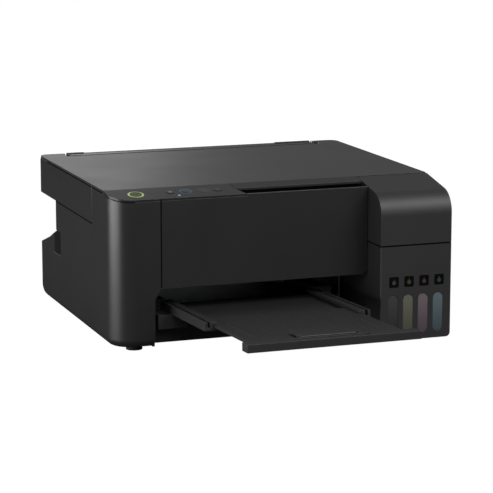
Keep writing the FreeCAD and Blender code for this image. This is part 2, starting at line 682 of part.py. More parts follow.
rod_posts = [box("rodPostLeft", ("left + 3", "left + 12"), ("mid + 6", "mid + 22"),
                 ("deck + 2", "deck + 15")),
             box("rodPostRight", ("right - 12", "right - 3"), ("mid + 6", "mid + 22"),
                 ("deck + 2", "deck + 15"))]
rod_seat = rod("rodSeat", "x", ("mid + 14", "deck + 9"), ("left + 6", "right - 6"), "scan_rod_radius")
scan_whole = joined("scanWhole", scan_cut, *ears, *rod_posts)
node("scanner_housing", minus("scannerHousing", scan_whole, lift_bore, lid_bore, rod_seat))
node("scan_rod", rod("scanRod", "x", ("mid + 14", "deck + 9"), ("left + 6", "right - 6"),
                     "scan_rod_radius"))

bezel_top = box("bezelTop", ("left + 4.5", "right - 4.5"), ("scan_front", "scan_back"),
                ("scan_top - 2", "scan_top"))
bezel_rim = box("bezelRim", ("left + 6.8", "right - 6.8"), ("scan_front + 2.3", "scan_back - 2.3"),
                ("scan_top - 4", "scan_top - 2"))
glass_x = (mirrored("glass_long / 2"), "glass_long / 2")
glass_y = ("glass_front", "glass_front + glass_short")
glass_room = box("glassRoom", glass_x, glass_y, ("scan_top - glass_thick", "scan_top + 1"))
light_room = box("lightRoom", (mirrored("glass_long / 2 - 3"), "glass_long / 2 - 3"),
                 ("glass_front + 3", "glass_front + glass_short - 3"), ("scan_top - 5", "scan_top"))
node("scanner_bezel", minus("scannerBezel", joined("bezelWhole", bezel_top, bezel_rim), glass_room,
                            light_room))
node("scan_glass", box("scanGlass", glass_x, glass_y, ("scan_top - glass_thick", "scan_top")))
bar_x = "left + 42"
bar_span = (f"{bar_x} - scan_bar_width / 2", f"{bar_x} + scan_bar_width / 2")
scan_bar = box("scanBar", bar_span, ("glass_front + 4", "glass_front + glass_short - 4"),
               ("deck + 20", "scan_top - 4.4"))
scan_sled = box("scanSled", (f"{bar_x} - 15", f"{bar_x} + 15"), ("mid + 4", "mid + 24"),
                ("deck + 3", "deck + 20"))
scan_motor = rod("scanMotor", "y", (bar_x, "deck + 11"), ("mid + 24", "mid + 46"), "8.5")
sled_bore = rod("sledBore", "x", ("mid + 14", "deck + 9"), (f"{bar_x} - 16", f"{bar_x} + 16"),
                "scan_rod_radius + 0.06")
node("scan_carriage", minus("scanCarriage", joined("scanCarriageWhole", scan_bar, scan_sled, scan_motor),
                            sled_bore))

# Lid with its white pad
lid_block = box("lidBlock", ("left", "right"), ("crease + 0.8", "rear"), ("lid_low", "top"))
lid_notch = box("lidNotch", (mirrored("arm_side + 2.8"), "arm_side + 2.8"), ("notch_lid", "rear + 1"),
                ("lid_low - 1", "top + 1"))
lid_lip = leaning("lidLip", [("crease + 0.8", "lid_low"), ("crease + 0.8", "top"), ("crease", "top"),
                             ("slot_back", facet_at("slot_back")),
                             ("slot_back", f"{facet_at('slot_back')} - wall")],
                  ("slot_left + 0.6", "tank_left - 0.8"))
tongue_rear = both_sides("tongueRear", ("arm_side + 2.8", "right"), ("lid_pin_y", "rear + 1"),
                         ("lid_low - 1", "top + 1"))
barrels = [rod("lidBarrelRight", "x", ("lid_pin_y", "lid_pin_z"), ("arm_side + 2.8", "arm_side + 19"),
               "lid_thick"),
           rod("lidBarrelLeft", "x", ("lid_pin_y", "lid_pin_z"),
               (mirrored("arm_side + 19"), mirrored("arm_side + 2.8")),
               "lid_thick")]
lid_pins = [rod("lidPinRight", "x", ("lid_pin_y", "lid_pin_z"), ("arm_side + 0.2", "arm_side + 3"), "1.5"),
            rod("lidPinLeft", "x", ("lid_pin_y", "lid_pin_z"),
                (mirrored("arm_side + 3"), mirrored("arm_side + 0.2")), "1.5")]
lid_flat = minus("lidFlat", lid_block, lid_notch, *tongue_rear)
lid_soft = softened("lidSoft", lid_flat, ({"x": "left", "y": "lid_pin_y"}, "corner_rear"),
                    ({"x": "right", "y": "lid_pin_y"}, "corner_rear"))
node("lid_shell", joined("lidShell", lid_soft, lid_lip, *barrels, *lid_pins))
node("lid_pad", box("lidPad", (mirrored("glass_long / 2 + 4"), "glass_long / 2 + 4"),
                    ("glass_front - 2", "glass_front + glass_short + 2"), ("scan_top + gap", "lid_low")))


# Rear paper feed
def feed_line(offset, z):
    """Depth of a plane parallel to the paper support, offset to the front, at a height."""
    return f"support_y - ({offset}) / cos(feed_tilt) - (top - ({z})) * tan(feed_tilt)"


def feed_plate(name, near, far, low, high, x, rounds=()):
    """Plate parallel to the paper support between two offsets and two heights."""
    return leaning(name, [(feed_line(near, low), low), (feed_line(far, low), low),
                          (feed_line(far, high), high), (feed_line(near, high), high)], x, rounds)


side_x = ("strip_half - 2.3", "strip_half")
cheek_outline = [("pick_y - 10", "pick_z - 22"), ("rear - wall - 0.2", "pick_z - 22"),
                 ("rear - wall - 0.2", "deck"),
                 ("rear", "deck"), ("rear", "top - 1"), ("strip_front", "top - 1"),
                 ("strip_front", "lid_low - 2"),
                 ("lift_y - 6", "lift_z + 5"), ("lift_y - 6", "deck - 4"), ("pick_y - 10", "deck - 4")]
cheeks = [leaning("cheekRight", cheek_outline, side_x),
          leaning("cheekLeft", cheek_outline, (mirrored(side_x[1]), mirrored(side_x[0])))]
inner_x = (mirrored(side_x[0]), side_x[0])
front_plate = feed_plate("feedFrontPlate", "13 * cos(feed_tilt)", "15", "pick_z + 22", "top - 3", inner_x)
back_plate = feed_plate("feedBackPlate", "-support_thick - 2.2", "-support_thick - gap", "pick_z - 21",
                        "top - 9", inner_x)
strip = box("feedStrip", (mirrored("strip_half"), "strip_half"), ("strip_front", "strip_front + 5.5"),
            ("top - 3", "top"))
back_wall = box("feedBackWall", (mirrored("strip_half"), "strip_half"), ("rear - 2", "rear"),
                ("deck_low", "top - 3.2"))
humps = [box("humpLeft", (mirrored("strip_half"), "support_left - 0.8"), ("rear - 4.5", "rear"),
             ("top - 4", "top + 0.2")),
         box("humpRight", ("support_left + support_width + 0.8", "strip_half"), ("rear - 4.5", "rear"),
             ("top - 4", "top + 0.2"))]
lift_pins = [rod("liftPinRight", "x", ("lift_y", "lift_z"), ("strip_half - 1", "arm_side + 3.5"), "4"),
             rod("liftPinLeft", "x", ("lift_y", "lift_z"),
                 (mirrored("arm_side + 3.5"), mirrored("strip_half - 1")), "4")]
guide_rail_y = feed_line("13 * cos(feed_tilt)", "top - 28")
guide_rail = box("guideRail", inner_x, (f"{guide_rail_y} - 1", f"{guide_rail_y} + 3"),
                 ("top - 29", "top - 25"))
guard_y = "strip_front + 8"
guard_z = "top - 1.8"
guard_bores = [rod("guardBoreRight", "x", (guard_y, guard_z), ("strip_half - 3", "strip_half + 1"),
                   "1.26"),
               rod("guardBoreLeft", "x", (guard_y, guard_z),
                   (mirrored("strip_half + 1"), mirrored("strip_half - 3")), "1.26"),
               rod("pickBoreRight", "x", ("pick_y", "pick_z"), ("strip_half - 3", "strip_half + 1"),
                   "4.05"),
               rod("pickBoreLeft", "x", ("pick_y", "pick_z"),
                   (mirrored("strip_half + 1"), mirrored("strip_half - 3")), "4.05")]
feeder_whole = joined("feederWhole", *cheeks, front_plate, back_plate, strip, back_wall, *humps,
                      *lift_pins, guide_rail)
node("feeder_housing", minus("feederHousing", feeder_whole, *guard_bores))

support_low = "top - 0.4 - support_length * cos(feed_tilt)"
support_plate = feed_plate("supportPlate", "-support_thick", "0", support_low, "top - 0.4",
                           ("support_left", "support_left + support_width"))
node("paper_support", support_plate)
guard_plate = box("guardPlate", (mirrored("strip_half - 2.8"), "strip_half - 2.8"),
                  (guard_y, "support_y - 1.4"),
                  (f"{guard_z} - 1", f"{guard_z} + 1"))
guard_pin = rod("guardPin", "x", (guard_y, guard_z), (mirrored("strip_half - 0.2"), "strip_half - 0.2"),
                "1.2")
node("feeder_guard", joined("feederGuard", guard_plate, guard_pin))


def edge_guide(label, x0, x1):
    """Paper edge guide hooked over the rail of the feeder."""
    fin = feed_plate(label + "Fin", "0.6", "13 * cos(feed_tilt) - 0.6", "pick_z + 24", "top - 6", (x0, x1))
    room = box(label + "Room", (f"{x0} - 1", f"{x1} + 1"),
               (f"{guide_rail_y} - 9", f"{guide_rail_y} + 3 + gap"),
               ("top - 29 - gap", "top - 25 + gap"))
    return node(label, minus(label + "Piece", fin, room))


edge_guide("edge_guide_left", "tray_centre - 108", "tray_centre - 105.4")
edge_guide("edge_guide_right", "tray_centre + 105.4", "tray_centre + 108")
pick_shaft = rod("pickShaft", "x", ("pick_y", "pick_z"), (mirrored("strip_half"), "strip_half"), "4")
pick_tyre = rod("pickTyre", "x", ("pick_y", "pick_z"), ("tray_centre - 25", "tray_centre + 25"),
                "pick_radius")
pick_rolls = [rod(f"pickRoll{index}", "x", ("pick_y", "pick_z"),
                  (f"tray_centre + {x} - 6", f"tray_centre + {x} + 6"),
                  "pick_radius - 1.5") for index, x in enumerate(("-80", "80"))]
node("pickup_roller", joined("pickupRoller", pick_shaft, pick_tyre, *pick_rolls))
guide_x = ("frame_left", "frame_right")
chute_y = feed_line("0", "pick_z - 24")
node("paper_guide", leaning("paperGuide", [("feed_y + feed_radius + 0.6", "platen_top - 0.6"),
                                           (f"{chute_y} - 55", "platen_top - 0.6"),
                                           (f"{chute_y} - 18", "platen_top + 3"),
                                           (f"{chute_y} + 3", "pick_z - 25"),
                                           (f"{chute_y} + 3", "pick_z - 28"),
                                           (f"{chute_y} - 17", "platen_top + 0.6"),
                                           (f"{chute_y} - 55", "platen_top - 3"),
                                           ("feed_y + feed_radius + 0.6", "platen_top - 3")], guide_x))

# Print engine
frame_plate = box("framePlate", ("left + 9.5", "right - 9.5"), ("frame_y", "frame_y + 2"),
                  ("pan_top", "deck - 4"))
paper_gap = box("paperGap", ("frame_left - 1", "frame_right + 1"), ("frame_y - 1", "frame_y + 3"),
                ("platen_top - 6", "platen_top + 7"))
shaft_gaps = [rod("shaftGapDrive", "y", ("drive_x", "belt_z"), ("frame_y - 1", "frame_y + 3"), "2.6"),
              rod("shaftGapIdler", "y", ("idler_x", "belt_z"), ("frame_y - 1", "frame_y + 3"), "2.05")]
end_plates = [box("endPlateLeft", ("left + 9.5", "left + 11.5"), ("rod_y - 9", "frame_y"),
                  ("rod_z - 16", "deck - 4")),
              box("endPlateRight", ("right - 11.5", "right - 9.5"), ("rod_y - 9", "frame_y"),
                  ("rod_z - 16", "deck - 4"))]
cheek_low = [box("engineCheekLeft", ("frame_left - 2", "frame_left"), ("exit_y - 8", "frame_y"),
                 ("pan_top", "platen_top + 1")),
             box("engineCheekRight", ("frame_right", "frame_right + 2"), ("exit_y - 8", "frame_y"),
                 ("pan_top", "platen_top + 1"))]
pinch_x = ("frame_left + 6", "frame_left + 86", "frame_right - 76", "frame_right - 8")
pinch_z = "platen_top + gap + 3.5"
pinch_tabs = [box(f"pinchTab{index}", (x, f"{x} + 2"), ("feed_y - 3", "frame_y"),
                  ("platen_top + 1.2", "platen_top + 10.5"))
              for index, x in enumerate(pinch_x)]
pinch_shelf = box("pinchShelf", ("frame_left + 6", "frame_right - 6"), ("feed_y + 7", "frame_y"),
                  ("platen_top + 8.5", "platen_top + 10.5"))
frame_bores = [rod("feedBore", "x", ("feed_y", "feed_z"), ("frame_left - 3", "frame_right + 3"),
                   "feed_radius + 0.06"),
               rod("exitBore", "x", ("exit_y", "exit_z"), ("frame_left - 3", "frame_right + 3"), "3.06"),
               rod("pinchBore", "x", ("feed_y", pinch_z), ("frame_left - 3", "frame_right + 3"), "1.55"),
               rod("motorBore", "x", ("motor_y", "motor_z"), ("frame_left - 3", "frame_left + 1"), "2.6"),
               rod("rodBore", "x", ("rod_y", "rod_z"), ("left + 9", "right - 5"), "rod_radius")]
frame_whole = joined("frameWhole", minus("frameBack", frame_plate, paper_gap, *shaft_gaps), *end_plates,
                     *cheek_low,
                     *pinch_tabs, pinch_shelf)
node("engine_frame", minus("engineFrame", frame_whole, *frame_bores))
node("guide_rod", rod("guideRod", "x", ("rod_y", "rod_z"), ("left + 9.5", "right - 9.5"), "rod_radius"))

carriage_x = ("home_x - carriage_width / 2", "home_x + carriage_width / 2")
carriage_box = box("carriageBox", carriage_x, ("mid - 46", "mid + 30"),
                   ("platen_top + 14", "platen_top + 58"))
carriage_hollow = box("carriageHollow", ("home_x - carriage_width / 2 + 2",
                                         "home_x + carriage_width / 2 - 2"),
                      ("mid - 44", "mid + 26"), ("platen_top + 17", "platen_top + 59"))
carriage_sleeve = box("carriageSleeve", carriage_x, ("mid + 26", "rod_y + 7.5"),
                      ("rod_z - 8", "rod_z + 8"))
belt_clip = box("beltClip", ("home_x - 10", "home_x + 10"), ("rod_y - 2", "belt_y + belt_width + 1"),
                ("belt_z - pulley_radius - 5", "belt_z - pulley_radius + 3"))
clip_slot = box("clipSlot", ("home_x - 11", "home_x + 11"), ("belt_y - gap", "belt_y + belt_width + 2"),
                ("belt_z - pulley_radius - belt_thick - 2 * gap", "belt_z - pulley_radius"))
rod_room = rod("rodRoom", "x", ("rod_y", "rod_z"), ("home_x - carriage_width", "home_x + carriage_width"),
               "rod_radius + 0.06")
clip_join = box("clipJoin", ("home_x - 10", "home_x + 10"), ("rod_y - 2", "rod_y + 7.5"),
                ("rod_z + 6", "belt_z - pulley_radius + 3"))
carriage_whole = joined("carriageWhole", minus("carriageTub", carriage_box, carriage_hollow),
                        carriage_sleeve, belt_clip,
                        clip_join)
node("print_carriage", minus("printCarriage", carriage_whole, rod_room, clip_slot))
node("print_head", box("printHead", ("home_x - 35", "home_x + 35"), ("mid - 34", "mid + 4"),
                       ("platen_top + 2.5", "platen_top + 14")))
node("carriage_belt", loop_belt("carriageBelt", "y", ("idler_x", "belt_z", "pulley_radius"),
                                ("drive_x", "belt_z", "pulley_radius"), ("belt_y", "belt_y + belt_width")))
drive_disc = rod("driveDisc", "y", ("drive_x", "belt_z"), ("belt_y", "belt_y + belt_width"),
                 "pulley_radius")
drive_shaft = rod("driveShaft", "y", ("drive_x", "belt_z"), ("belt_y + belt_width", "frame_y + 5.5"), "2")
node("drive_pulley", joined("drivePulley", drive_disc, drive_shaft))
idler_disc = rod("idlerDisc", "y", ("idler_x", "belt_z"), ("belt_y", "belt_y + belt_width"),
                 "pulley_radius")
idler_shaft = rod("idlerShaft", "y", ("idler_x", "belt_z"), ("belt_y + belt_width", "frame_y + 2"), "2")
node("idler_pulley", joined("idlerPulley", idler_disc, idler_shaft))
motor_can = rod("motorCan", "y", ("drive_x", "belt_z"), ("frame_y + 2", "frame_y + 32"), "15")
motor_hole = rod("motorHole", "y", ("drive_x", "belt_z"), ("frame_y + 1", "frame_y + 6"), "2.05")
node("carriage_motor", minus("carriageMotor", motor_can, motor_hole))

feed_shaft = rod("feedShaft", "x", ("feed_y", "feed_z"), ("frame_left - 22", "frame_right + 2"),
                 "feed_radius")
feed_wheel = rod("feedWheel", "x", ("feed_y", "feed_z"), ("frame_left - 10", "frame_left - 4"), "15")
exit_wheel_feed = rod("exitWheelFeed", "x", ("feed_y", "feed_z"), ("frame_left - 20", "frame_left - 14"),
                      "8")
node("feed_roller", joined("feedRoller", feed_shaft, feed_wheel, exit_wheel_feed))
pinch_shaft = rod("pinchShaft", "x", ("feed_y", pinch_z), ("frame_left + 4", "frame_right - 4"), "1.5")
pinch_rolls = [rod(f"pinchRoll{index}", "x", ("feed_y", pinch_z), (f"{x} + 6", f"{x} + 46"), "3.5")
               for index, x in enumerate(pinch_x[:3])]
node("pinch_rollers", joined("pinchRollers", pinch_shaft, *pinch_rolls))
exit_shaft = rod("exitShaft", "x", ("exit_y", "exit_z"), ("frame_left - 22", "frame_right + 2"), "3")
exit_rolls = [rod(f"exitRoll{index}", "x", ("exit_y", "exit_z"),
                  (f"tray_centre - 84 + {index} * 40", f"tray_centre - 76 + {index} * 40"), "exit_radius")
              for index in range(5)]
exit_wheel = rod("exitWheel", "x", ("exit_y", "exit_z"), ("frame_left - 20", "frame_left - 14"), "8")
node("exit_roller", joined("exitRoller", exit_shaft, exit_wheel, *exit_rolls))
star_bar = box("starBar", ("frame_left", "frame_right"), ("exit_y - 6", "exit_y + 6"),
               ("star_top - 3", "star_top"))
star_ends = [box("starEndLeft", ("frame_left", "frame_left + 2"), ("exit_y - 6", "exit_y + 6"),
                 ("platen_top - 4", "star_top - 2")),
             box("starEndRight", ("frame_right - 2", "frame_right"), ("exit_y - 6", "exit_y + 6"),
                 ("platen_top - 4", "star_top - 2"))]
stars = []
for index in range(5):
    x = f"tray_centre - 80 + {index} * 40"
    wheel = rod(f"starWheel{index}", "x", ("exit_y", "star_z"), (f"{x} - 0.6", f"{x} + 0.6"),
                "star_radius")
    post = box(f"starPost{index}", (f"{x} - 0.6", f"{x} + 0.6"), ("exit_y - 1.5", "exit_y + 1.5"),
               ("star_z", "star_top - 2"))
    stars += [wheel, post]
star_gap = rod("starGap", "x", ("exit_y", "exit_z"), ("frame_left - 1", "frame_right + 1"), "3.4")
node("star_wheel_bar", minus("starWheelBar", joined("starWhole", star_bar, *star_ends, *stars), star_gap))
platen_plate = box("platenPlate", ("frame_left", "frame_right"),
                   ("exit_y + 8", "feed_y - feed_radius - 0.8"),
                   ("platen_top - 7", "platen_top - 1.5"))
platen_ribs = [box(f"platenRib{index}", (f"frame_left + 15 + {index} * 20",
                                         f"frame_left + 17 + {index} * 20"),
                   ("exit_y + 8", "feed_y - feed_radius - 0.8"), ("platen_top - 2", "platen_top"))
               for index in range(12)]
node("platen", joined("platenPiece", platen_plate, *platen_ribs))
node("feed_motor", minus("feedMotor",
                         rod("feedMotorCan", "x", ("motor_y", "motor_z"),
                             ("frame_left", "frame_left + 26"),
                                          "13"),
                         rod("feedMotorHole", "x", ("motor_y", "motor_z"),
                             ("frame_left - 1", "frame_left + 4"), "2.05")))
pinion_disc = rod("pinionDisc", "x", ("motor_y", "motor_z"), ("frame_left - 10", "frame_left - 4"), "5")
pinion_shaft = rod("pinionShaft", "x", ("motor_y", "motor_z"), ("frame_left - 4", "frame_left + 3.5"), "2")
node("motor_pulley", joined("motorPulley", pinion_disc, pinion_shaft))
node("feed_belts", group("feedBelts",
                         loop_belt("feedBelt", "x", ("motor_y", "motor_z", "5"),
                                   ("feed_y", "feed_z", "15"),
                                   ("frame_left - 10", "frame_left - 4")),
                         loop_belt("exitBelt", "x", ("exit_y", "exit_z", "8"), ("feed_y", "feed_z", "8"),
                                   ("frame_left - 20", "frame_left - 14"))))
station_box = box("stationBox", ("tank_left + 6", "right - 20"), ("mid - 40", "mid + 12"),
                  ("pan_top", "platen_top - 4"))
station_cap = box("stationCap", ("home_x - 24", "home_x + 32"), ("mid - 32", "mid + 2"),
                  ("platen_top - 4", "platen_top + 1.8"))
station_well = box("stationWell", ("home_x - 21", "home_x + 29"), ("mid - 29", "mid - 1"),
                   ("platen_top - 2", "platen_top + 3"))
node("cap_station", minus("capStation", joined("stationWhole", station_box, station_cap), station_well))

# Electrics
board_plate = box("boardPlate", ("left + wall", "left + wall + 1.6"), ("mid - 40", "notch_front - 5"),
                  ("pan_top + 12", "deck - 5"))
chips = [box(f"chip{index}", ("left + wall + 1.6", f"left + wall + {deep}"),
             (f"mid - {near}", f"mid - {near} + {long}"),
             (f"pan_top + {low}", f"pan_top + {high}"))
         for index, (deep, near, long, low, high) in enumerate(((3, 10, 24, 40, 64), (3, 30, 14, 75, 86),
                                                                (5, -40, 10, 25, 45),
                                                                (5, -56, 8, 60, 72)))]
usb_shell = box("usbShell", ("left + wall + 1.6", "left + 16.5"),
                ("notch_front - wall - 9", "notch_front - 0.4"),
                ("ground + 107", "ground + 118"))
usb_mouth = box("usbMouth", ("left + 6.5", "left + 14.5"), ("notch_front - 8", "notch_front + 1"),
                ("ground + 109", "ground + 116"))
node("main_board", minus("mainBoard", joined("boardWhole", board_plate, *chips, usb_shell), usb_mouth))
node("power_supply", box("powerSupply", ("left + 55", "left + 175"), ("frame_y + 10", "frame_y + 78"),
                         ("pan_top", "pan_top + 34")))
inlet_shell = box("inletShell", ("left + 9", "left + 29"), ("notch_front - 18", "notch_front - 0.4"),
                  ("ground + 92", "ground + 103"))
inlet_mouth = box("inletMouth", ("left + 11", "left + 27"), ("notch_front - 14", "notch_front + 1"),
                  ("ground + 94", "ground + 101"))
inlet_pins = [rod(f"inletPin{index}", "y", (f"left + {x}", "ground + 97.5"),
                  ("notch_front - 15", "notch_front - 4"), "1.2")
              for index, x in enumerate((15, 23))]
node("power_inlet", joined("powerInlet", minus("inletCup", inlet_shell, inlet_mouth), *inlet_pins))

# Output tray, its extension and the stopper
extra_out = "(tank_step + tray_reach) / cos(tray_slope) - bar_depth"
extra_in = f"{extra_out} - 154"
main_out = f"{extra_out} - extra_travel"
main_in = f"{main_out} - 153"
tray_x = ("tray_left", "tray_right")
slide_x = ("tray_left + 10", "tray_right - 10")
tray_floor = sloped("trayFloor", (main_in, main_out), ("0", "tray_thick"), tray_x)
tray_rims = [sloped("trayRimLeft", (main_in, main_out), ("tray_thick", "tray_rim"),
                    ("tray_left", "tray_left + 3")),
             sloped("trayRimRight", (main_in, main_out), ("tray_thick", "tray_rim"),
                    ("tray_right - 3", "tray_right"))]
tray_guides = [sloped("trayGuideLeft", (main_in, main_out), ("tray_thick", "tray_rim"),
                      ("tray_left + 6", "tray_left + 10 - gap")),
               sloped("trayGuideRight", (main_in, main_out), ("tray_thick", "tray_rim"),
                      ("tray_right - 10 + gap", "tray_right - 6"))]
tray_lips = [sloped("trayLipLeft", (main_in, main_out), ("tray_thick + 3 + gap", "tray_rim"),
                    ("tray_left + 6", "tray_left + 13")),
             sloped("trayLipRight", (main_in, main_out), ("tray_thick + 3 + gap", "tray_rim"),
                    ("tray_right - 13", "tray_right - 6"))]
node("tray_main", joined("trayMain", tray_floor, *tray_rims, *tray_guides, *tray_lips))
extra_low = "tray_thick + gap"
extra_high = "tray_thick + gap + 2.5"
extra_plate = sloped("extraPlate", (extra_in, f"{extra_out} + 1"), (extra_low, extra_high), slide_x)
extra_bar = sloped("extraBar", (extra_out, f"{extra_out} + bar_depth"), ("0", "bar_height"), tray_x)
bar_round = sloped("barScoop", (f"{extra_out} + 3", f"{extra_out} + bar_depth - 3"),
                   ("bar_height - 1.5", "bar_height + 1"),
                   ("tray_centre - 40", "tray_centre + 40"))
stop_u = f"{extra_out} - 4"
stop_w = "tray_thick + gap + 2.5 + 2.2"


def tray_rod(name, u, w, x, radius):
    """Round piece across the tray at a point of its slope."""
    return rod(name, "x", on_slope(u, w), x, radius)


stop_ears = [sloped("stopEarLeft", (f"{extra_out} - 7", f"{extra_out}"), (extra_high, f"{stop_w} + 2"),
                    ("tray_centre - 33", "tray_centre - 30.3")),
             sloped("stopEarRight", (f"{extra_out} - 7", f"{extra_out}"), (extra_high, f"{stop_w} + 2"),
                    ("tray_centre + 30.3", "tray_centre + 33"))]
stop_bore = tray_rod("stopBore", stop_u, stop_w, ("tray_centre - 34", "tray_centre + 34"), "1.25")
extra_whole = joined("extraWhole", extra_plate, extra_bar, *stop_ears)
node("tray_extension", minus("trayExtension", extra_whole, bar_round, stop_bore))
stop_plate = sloped("stopPlate", (f"{extra_out} - 34", stop_u), (f"{stop_w} - 1", f"{stop_w} + 1"),
                    ("tray_centre - 30", "tray_centre + 30"))
stop_pin = tray_rod("stopPin", stop_u, stop_w, ("tray_centre - 32.5", "tray_centre + 32.5"), "1.2")
node("tray_stopper", joined("trayStopper", stop_plate, stop_pin))

doc.recompute()
for item in doc.Objects:
    if "Invalid" in item.State or "Error" in item.State:
        raise RuntimeError(f"{item.Label} did not build: {item.State}")
os.makedirs("parts", exist_ok=True)
for item in nodes:
    shape = item.Shape
    if shape.isNull() or not shape.isValid() or not shape.Solids:
        raise RuntimeError(f"{item.Label} has no valid solid")
    shape.exportStep(f"parts/{item.Label}.step")
print(len(nodes), "pieces written")
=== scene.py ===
import bmesh
import bpy
import math
from mathutils import Matrix, Vector


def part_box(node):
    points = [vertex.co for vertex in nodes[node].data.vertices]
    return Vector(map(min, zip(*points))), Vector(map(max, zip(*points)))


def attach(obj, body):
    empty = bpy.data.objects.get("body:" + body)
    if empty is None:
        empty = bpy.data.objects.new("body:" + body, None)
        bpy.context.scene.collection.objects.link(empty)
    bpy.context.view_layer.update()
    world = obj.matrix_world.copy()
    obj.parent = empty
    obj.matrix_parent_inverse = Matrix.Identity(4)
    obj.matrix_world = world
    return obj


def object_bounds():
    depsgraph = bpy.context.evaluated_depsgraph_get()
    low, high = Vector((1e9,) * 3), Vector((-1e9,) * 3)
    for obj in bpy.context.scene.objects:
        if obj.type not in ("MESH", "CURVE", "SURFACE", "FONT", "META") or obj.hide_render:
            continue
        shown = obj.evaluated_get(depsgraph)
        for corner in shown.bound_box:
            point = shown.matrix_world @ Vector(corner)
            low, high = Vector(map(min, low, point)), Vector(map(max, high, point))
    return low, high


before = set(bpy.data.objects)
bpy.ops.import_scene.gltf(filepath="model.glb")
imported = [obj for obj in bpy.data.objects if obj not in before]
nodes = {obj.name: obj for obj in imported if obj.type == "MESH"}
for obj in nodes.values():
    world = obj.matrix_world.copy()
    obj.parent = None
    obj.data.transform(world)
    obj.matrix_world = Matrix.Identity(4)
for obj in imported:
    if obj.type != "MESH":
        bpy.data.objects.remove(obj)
cadLow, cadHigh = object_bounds()
mm = 0.001
quarterTurn = math.pi / 2
print("frame loaded:", len(nodes), "nodes")


# sRGB hex to the linear values that shader sockets take
def linear(hexText):
    channels = [int(hexText[i:i + 2], 16) / 255 for i in (1, 3, 5)]
    return [c / 12.92 if c <= 0.04045 else ((c + 0.055) / 1.055) ** 2.4 for c in channels] + [1.0]


# Links the sockets among the inputs and sets the constants directly
def feed(tree, made, inputs):
    for key, value in inputs.items():
        if isinstance(value, bpy.types.NodeSocket):
            tree.links.new(value, made.inputs[key])
        else:
            made.inputs[key].default_value = value


def addNode(tree, kind, inputs=None, **settings):
    made = tree.nodes.new("ShaderNode" + kind)
    for name, value in settings.items():
        setattr(made, name, value)
    feed(tree, made, inputs or {})
    return made


def noise(tree, place, sizeMm, detail):
    scale = 1 / (sizeMm * mm)
    made = addNode(tree, "TexNoise", {"Vector": place, "Scale": scale, "Detail": detail})
    return made.outputs["Fac"]


def blend(tree, share, first, second):
    return addNode(tree, "Mix", {0: share, 6: first, 7: second}, data_type="RGBA").outputs[2]


def remap(tree, value, source, target=(0.0, 1.0), **settings):
    made = addNode(tree, "MapRange", {"Value": value, "From Min": source[0], "From Max": source[1],
                                      "To Min": target[0], "To Max": target[1]}, **settings)
    return made.outputs["Result"]


def roundedNormal(tree, radiusMm):
    return addNode(tree, "Bevel", {"Radius": radiusMm * mm}, samples=6).outputs["Normal"]


def startMaterial(name):
    material = bpy.data.materials.new(name)
    material.use_nodes = True
    tree = material.node_tree
    place = addNode(tree, "TexCoord").outputs["Object"]
    return material, tree, tree.nodes["Principled BSDF"], place


# Injection-moulded plastic: spark-eroded grain from the mould, a slow haze of handling,
# and slightly rounded edges painted paler, partly as rubbed wear and partly as a painted
# highlight along each edge. Grain is drawn coarser than the real 0.1 mm so that it shows in the
# render.
mould = {"grainDetail": 2.0, "grainDepth": 0.3, "hazeDetail": 5.0, "hazeSpan": (0.3, 0.7),
         "glossSpread": 0.02, "edgeTurn": (0.995, 0.90)}


def mouldedPlastic(name, look):
    material, tree, shader, place = startMaterial(name)
    grain = noise(tree, place, look["grainMm"], mould["grainDetail"])
    haze = noise(tree, place, look["hazeMm"], mould["hazeDetail"])
    rounded = roundedNormal(tree, look["edgeMm"])
    plain = addNode(tree, "NewGeometry").outputs["Normal"]
    turn = addNode(tree, "VectorMath", {0: rounded, 1: plain}, operation="DOT_PRODUCT")
    edge = remap(tree, turn.outputs["Value"], mould["edgeTurn"])
    mottled = blend(tree, haze, linear(look["colour"]), linear(look["hazeColour"]))
    # Edges painted paler: rubbed wear and a painted highlight
    rubbedAndHighlit = blend(tree, edge, mottled, linear(look["edgeColour"]))
    gloss = remap(tree, haze, mould["hazeSpan"], (look["roughness"] - mould["glossSpread"],
                                                  look["roughness"] + mould["glossSpread"]))
    relief = addNode(tree, "Bump", {"Strength": look["bump"], "Height": grain, "Normal": rounded,
                                    "Distance": look["grainMm"] * mm * mould["grainDepth"]})
    feed(tree, shader, {"Base Color": rubbedAndHighlit, "Roughness": gloss, "IOR": look["ior"],
                        "Normal": relief.outputs["Normal"], "Specular IOR Level": look["specular"]})
    return material


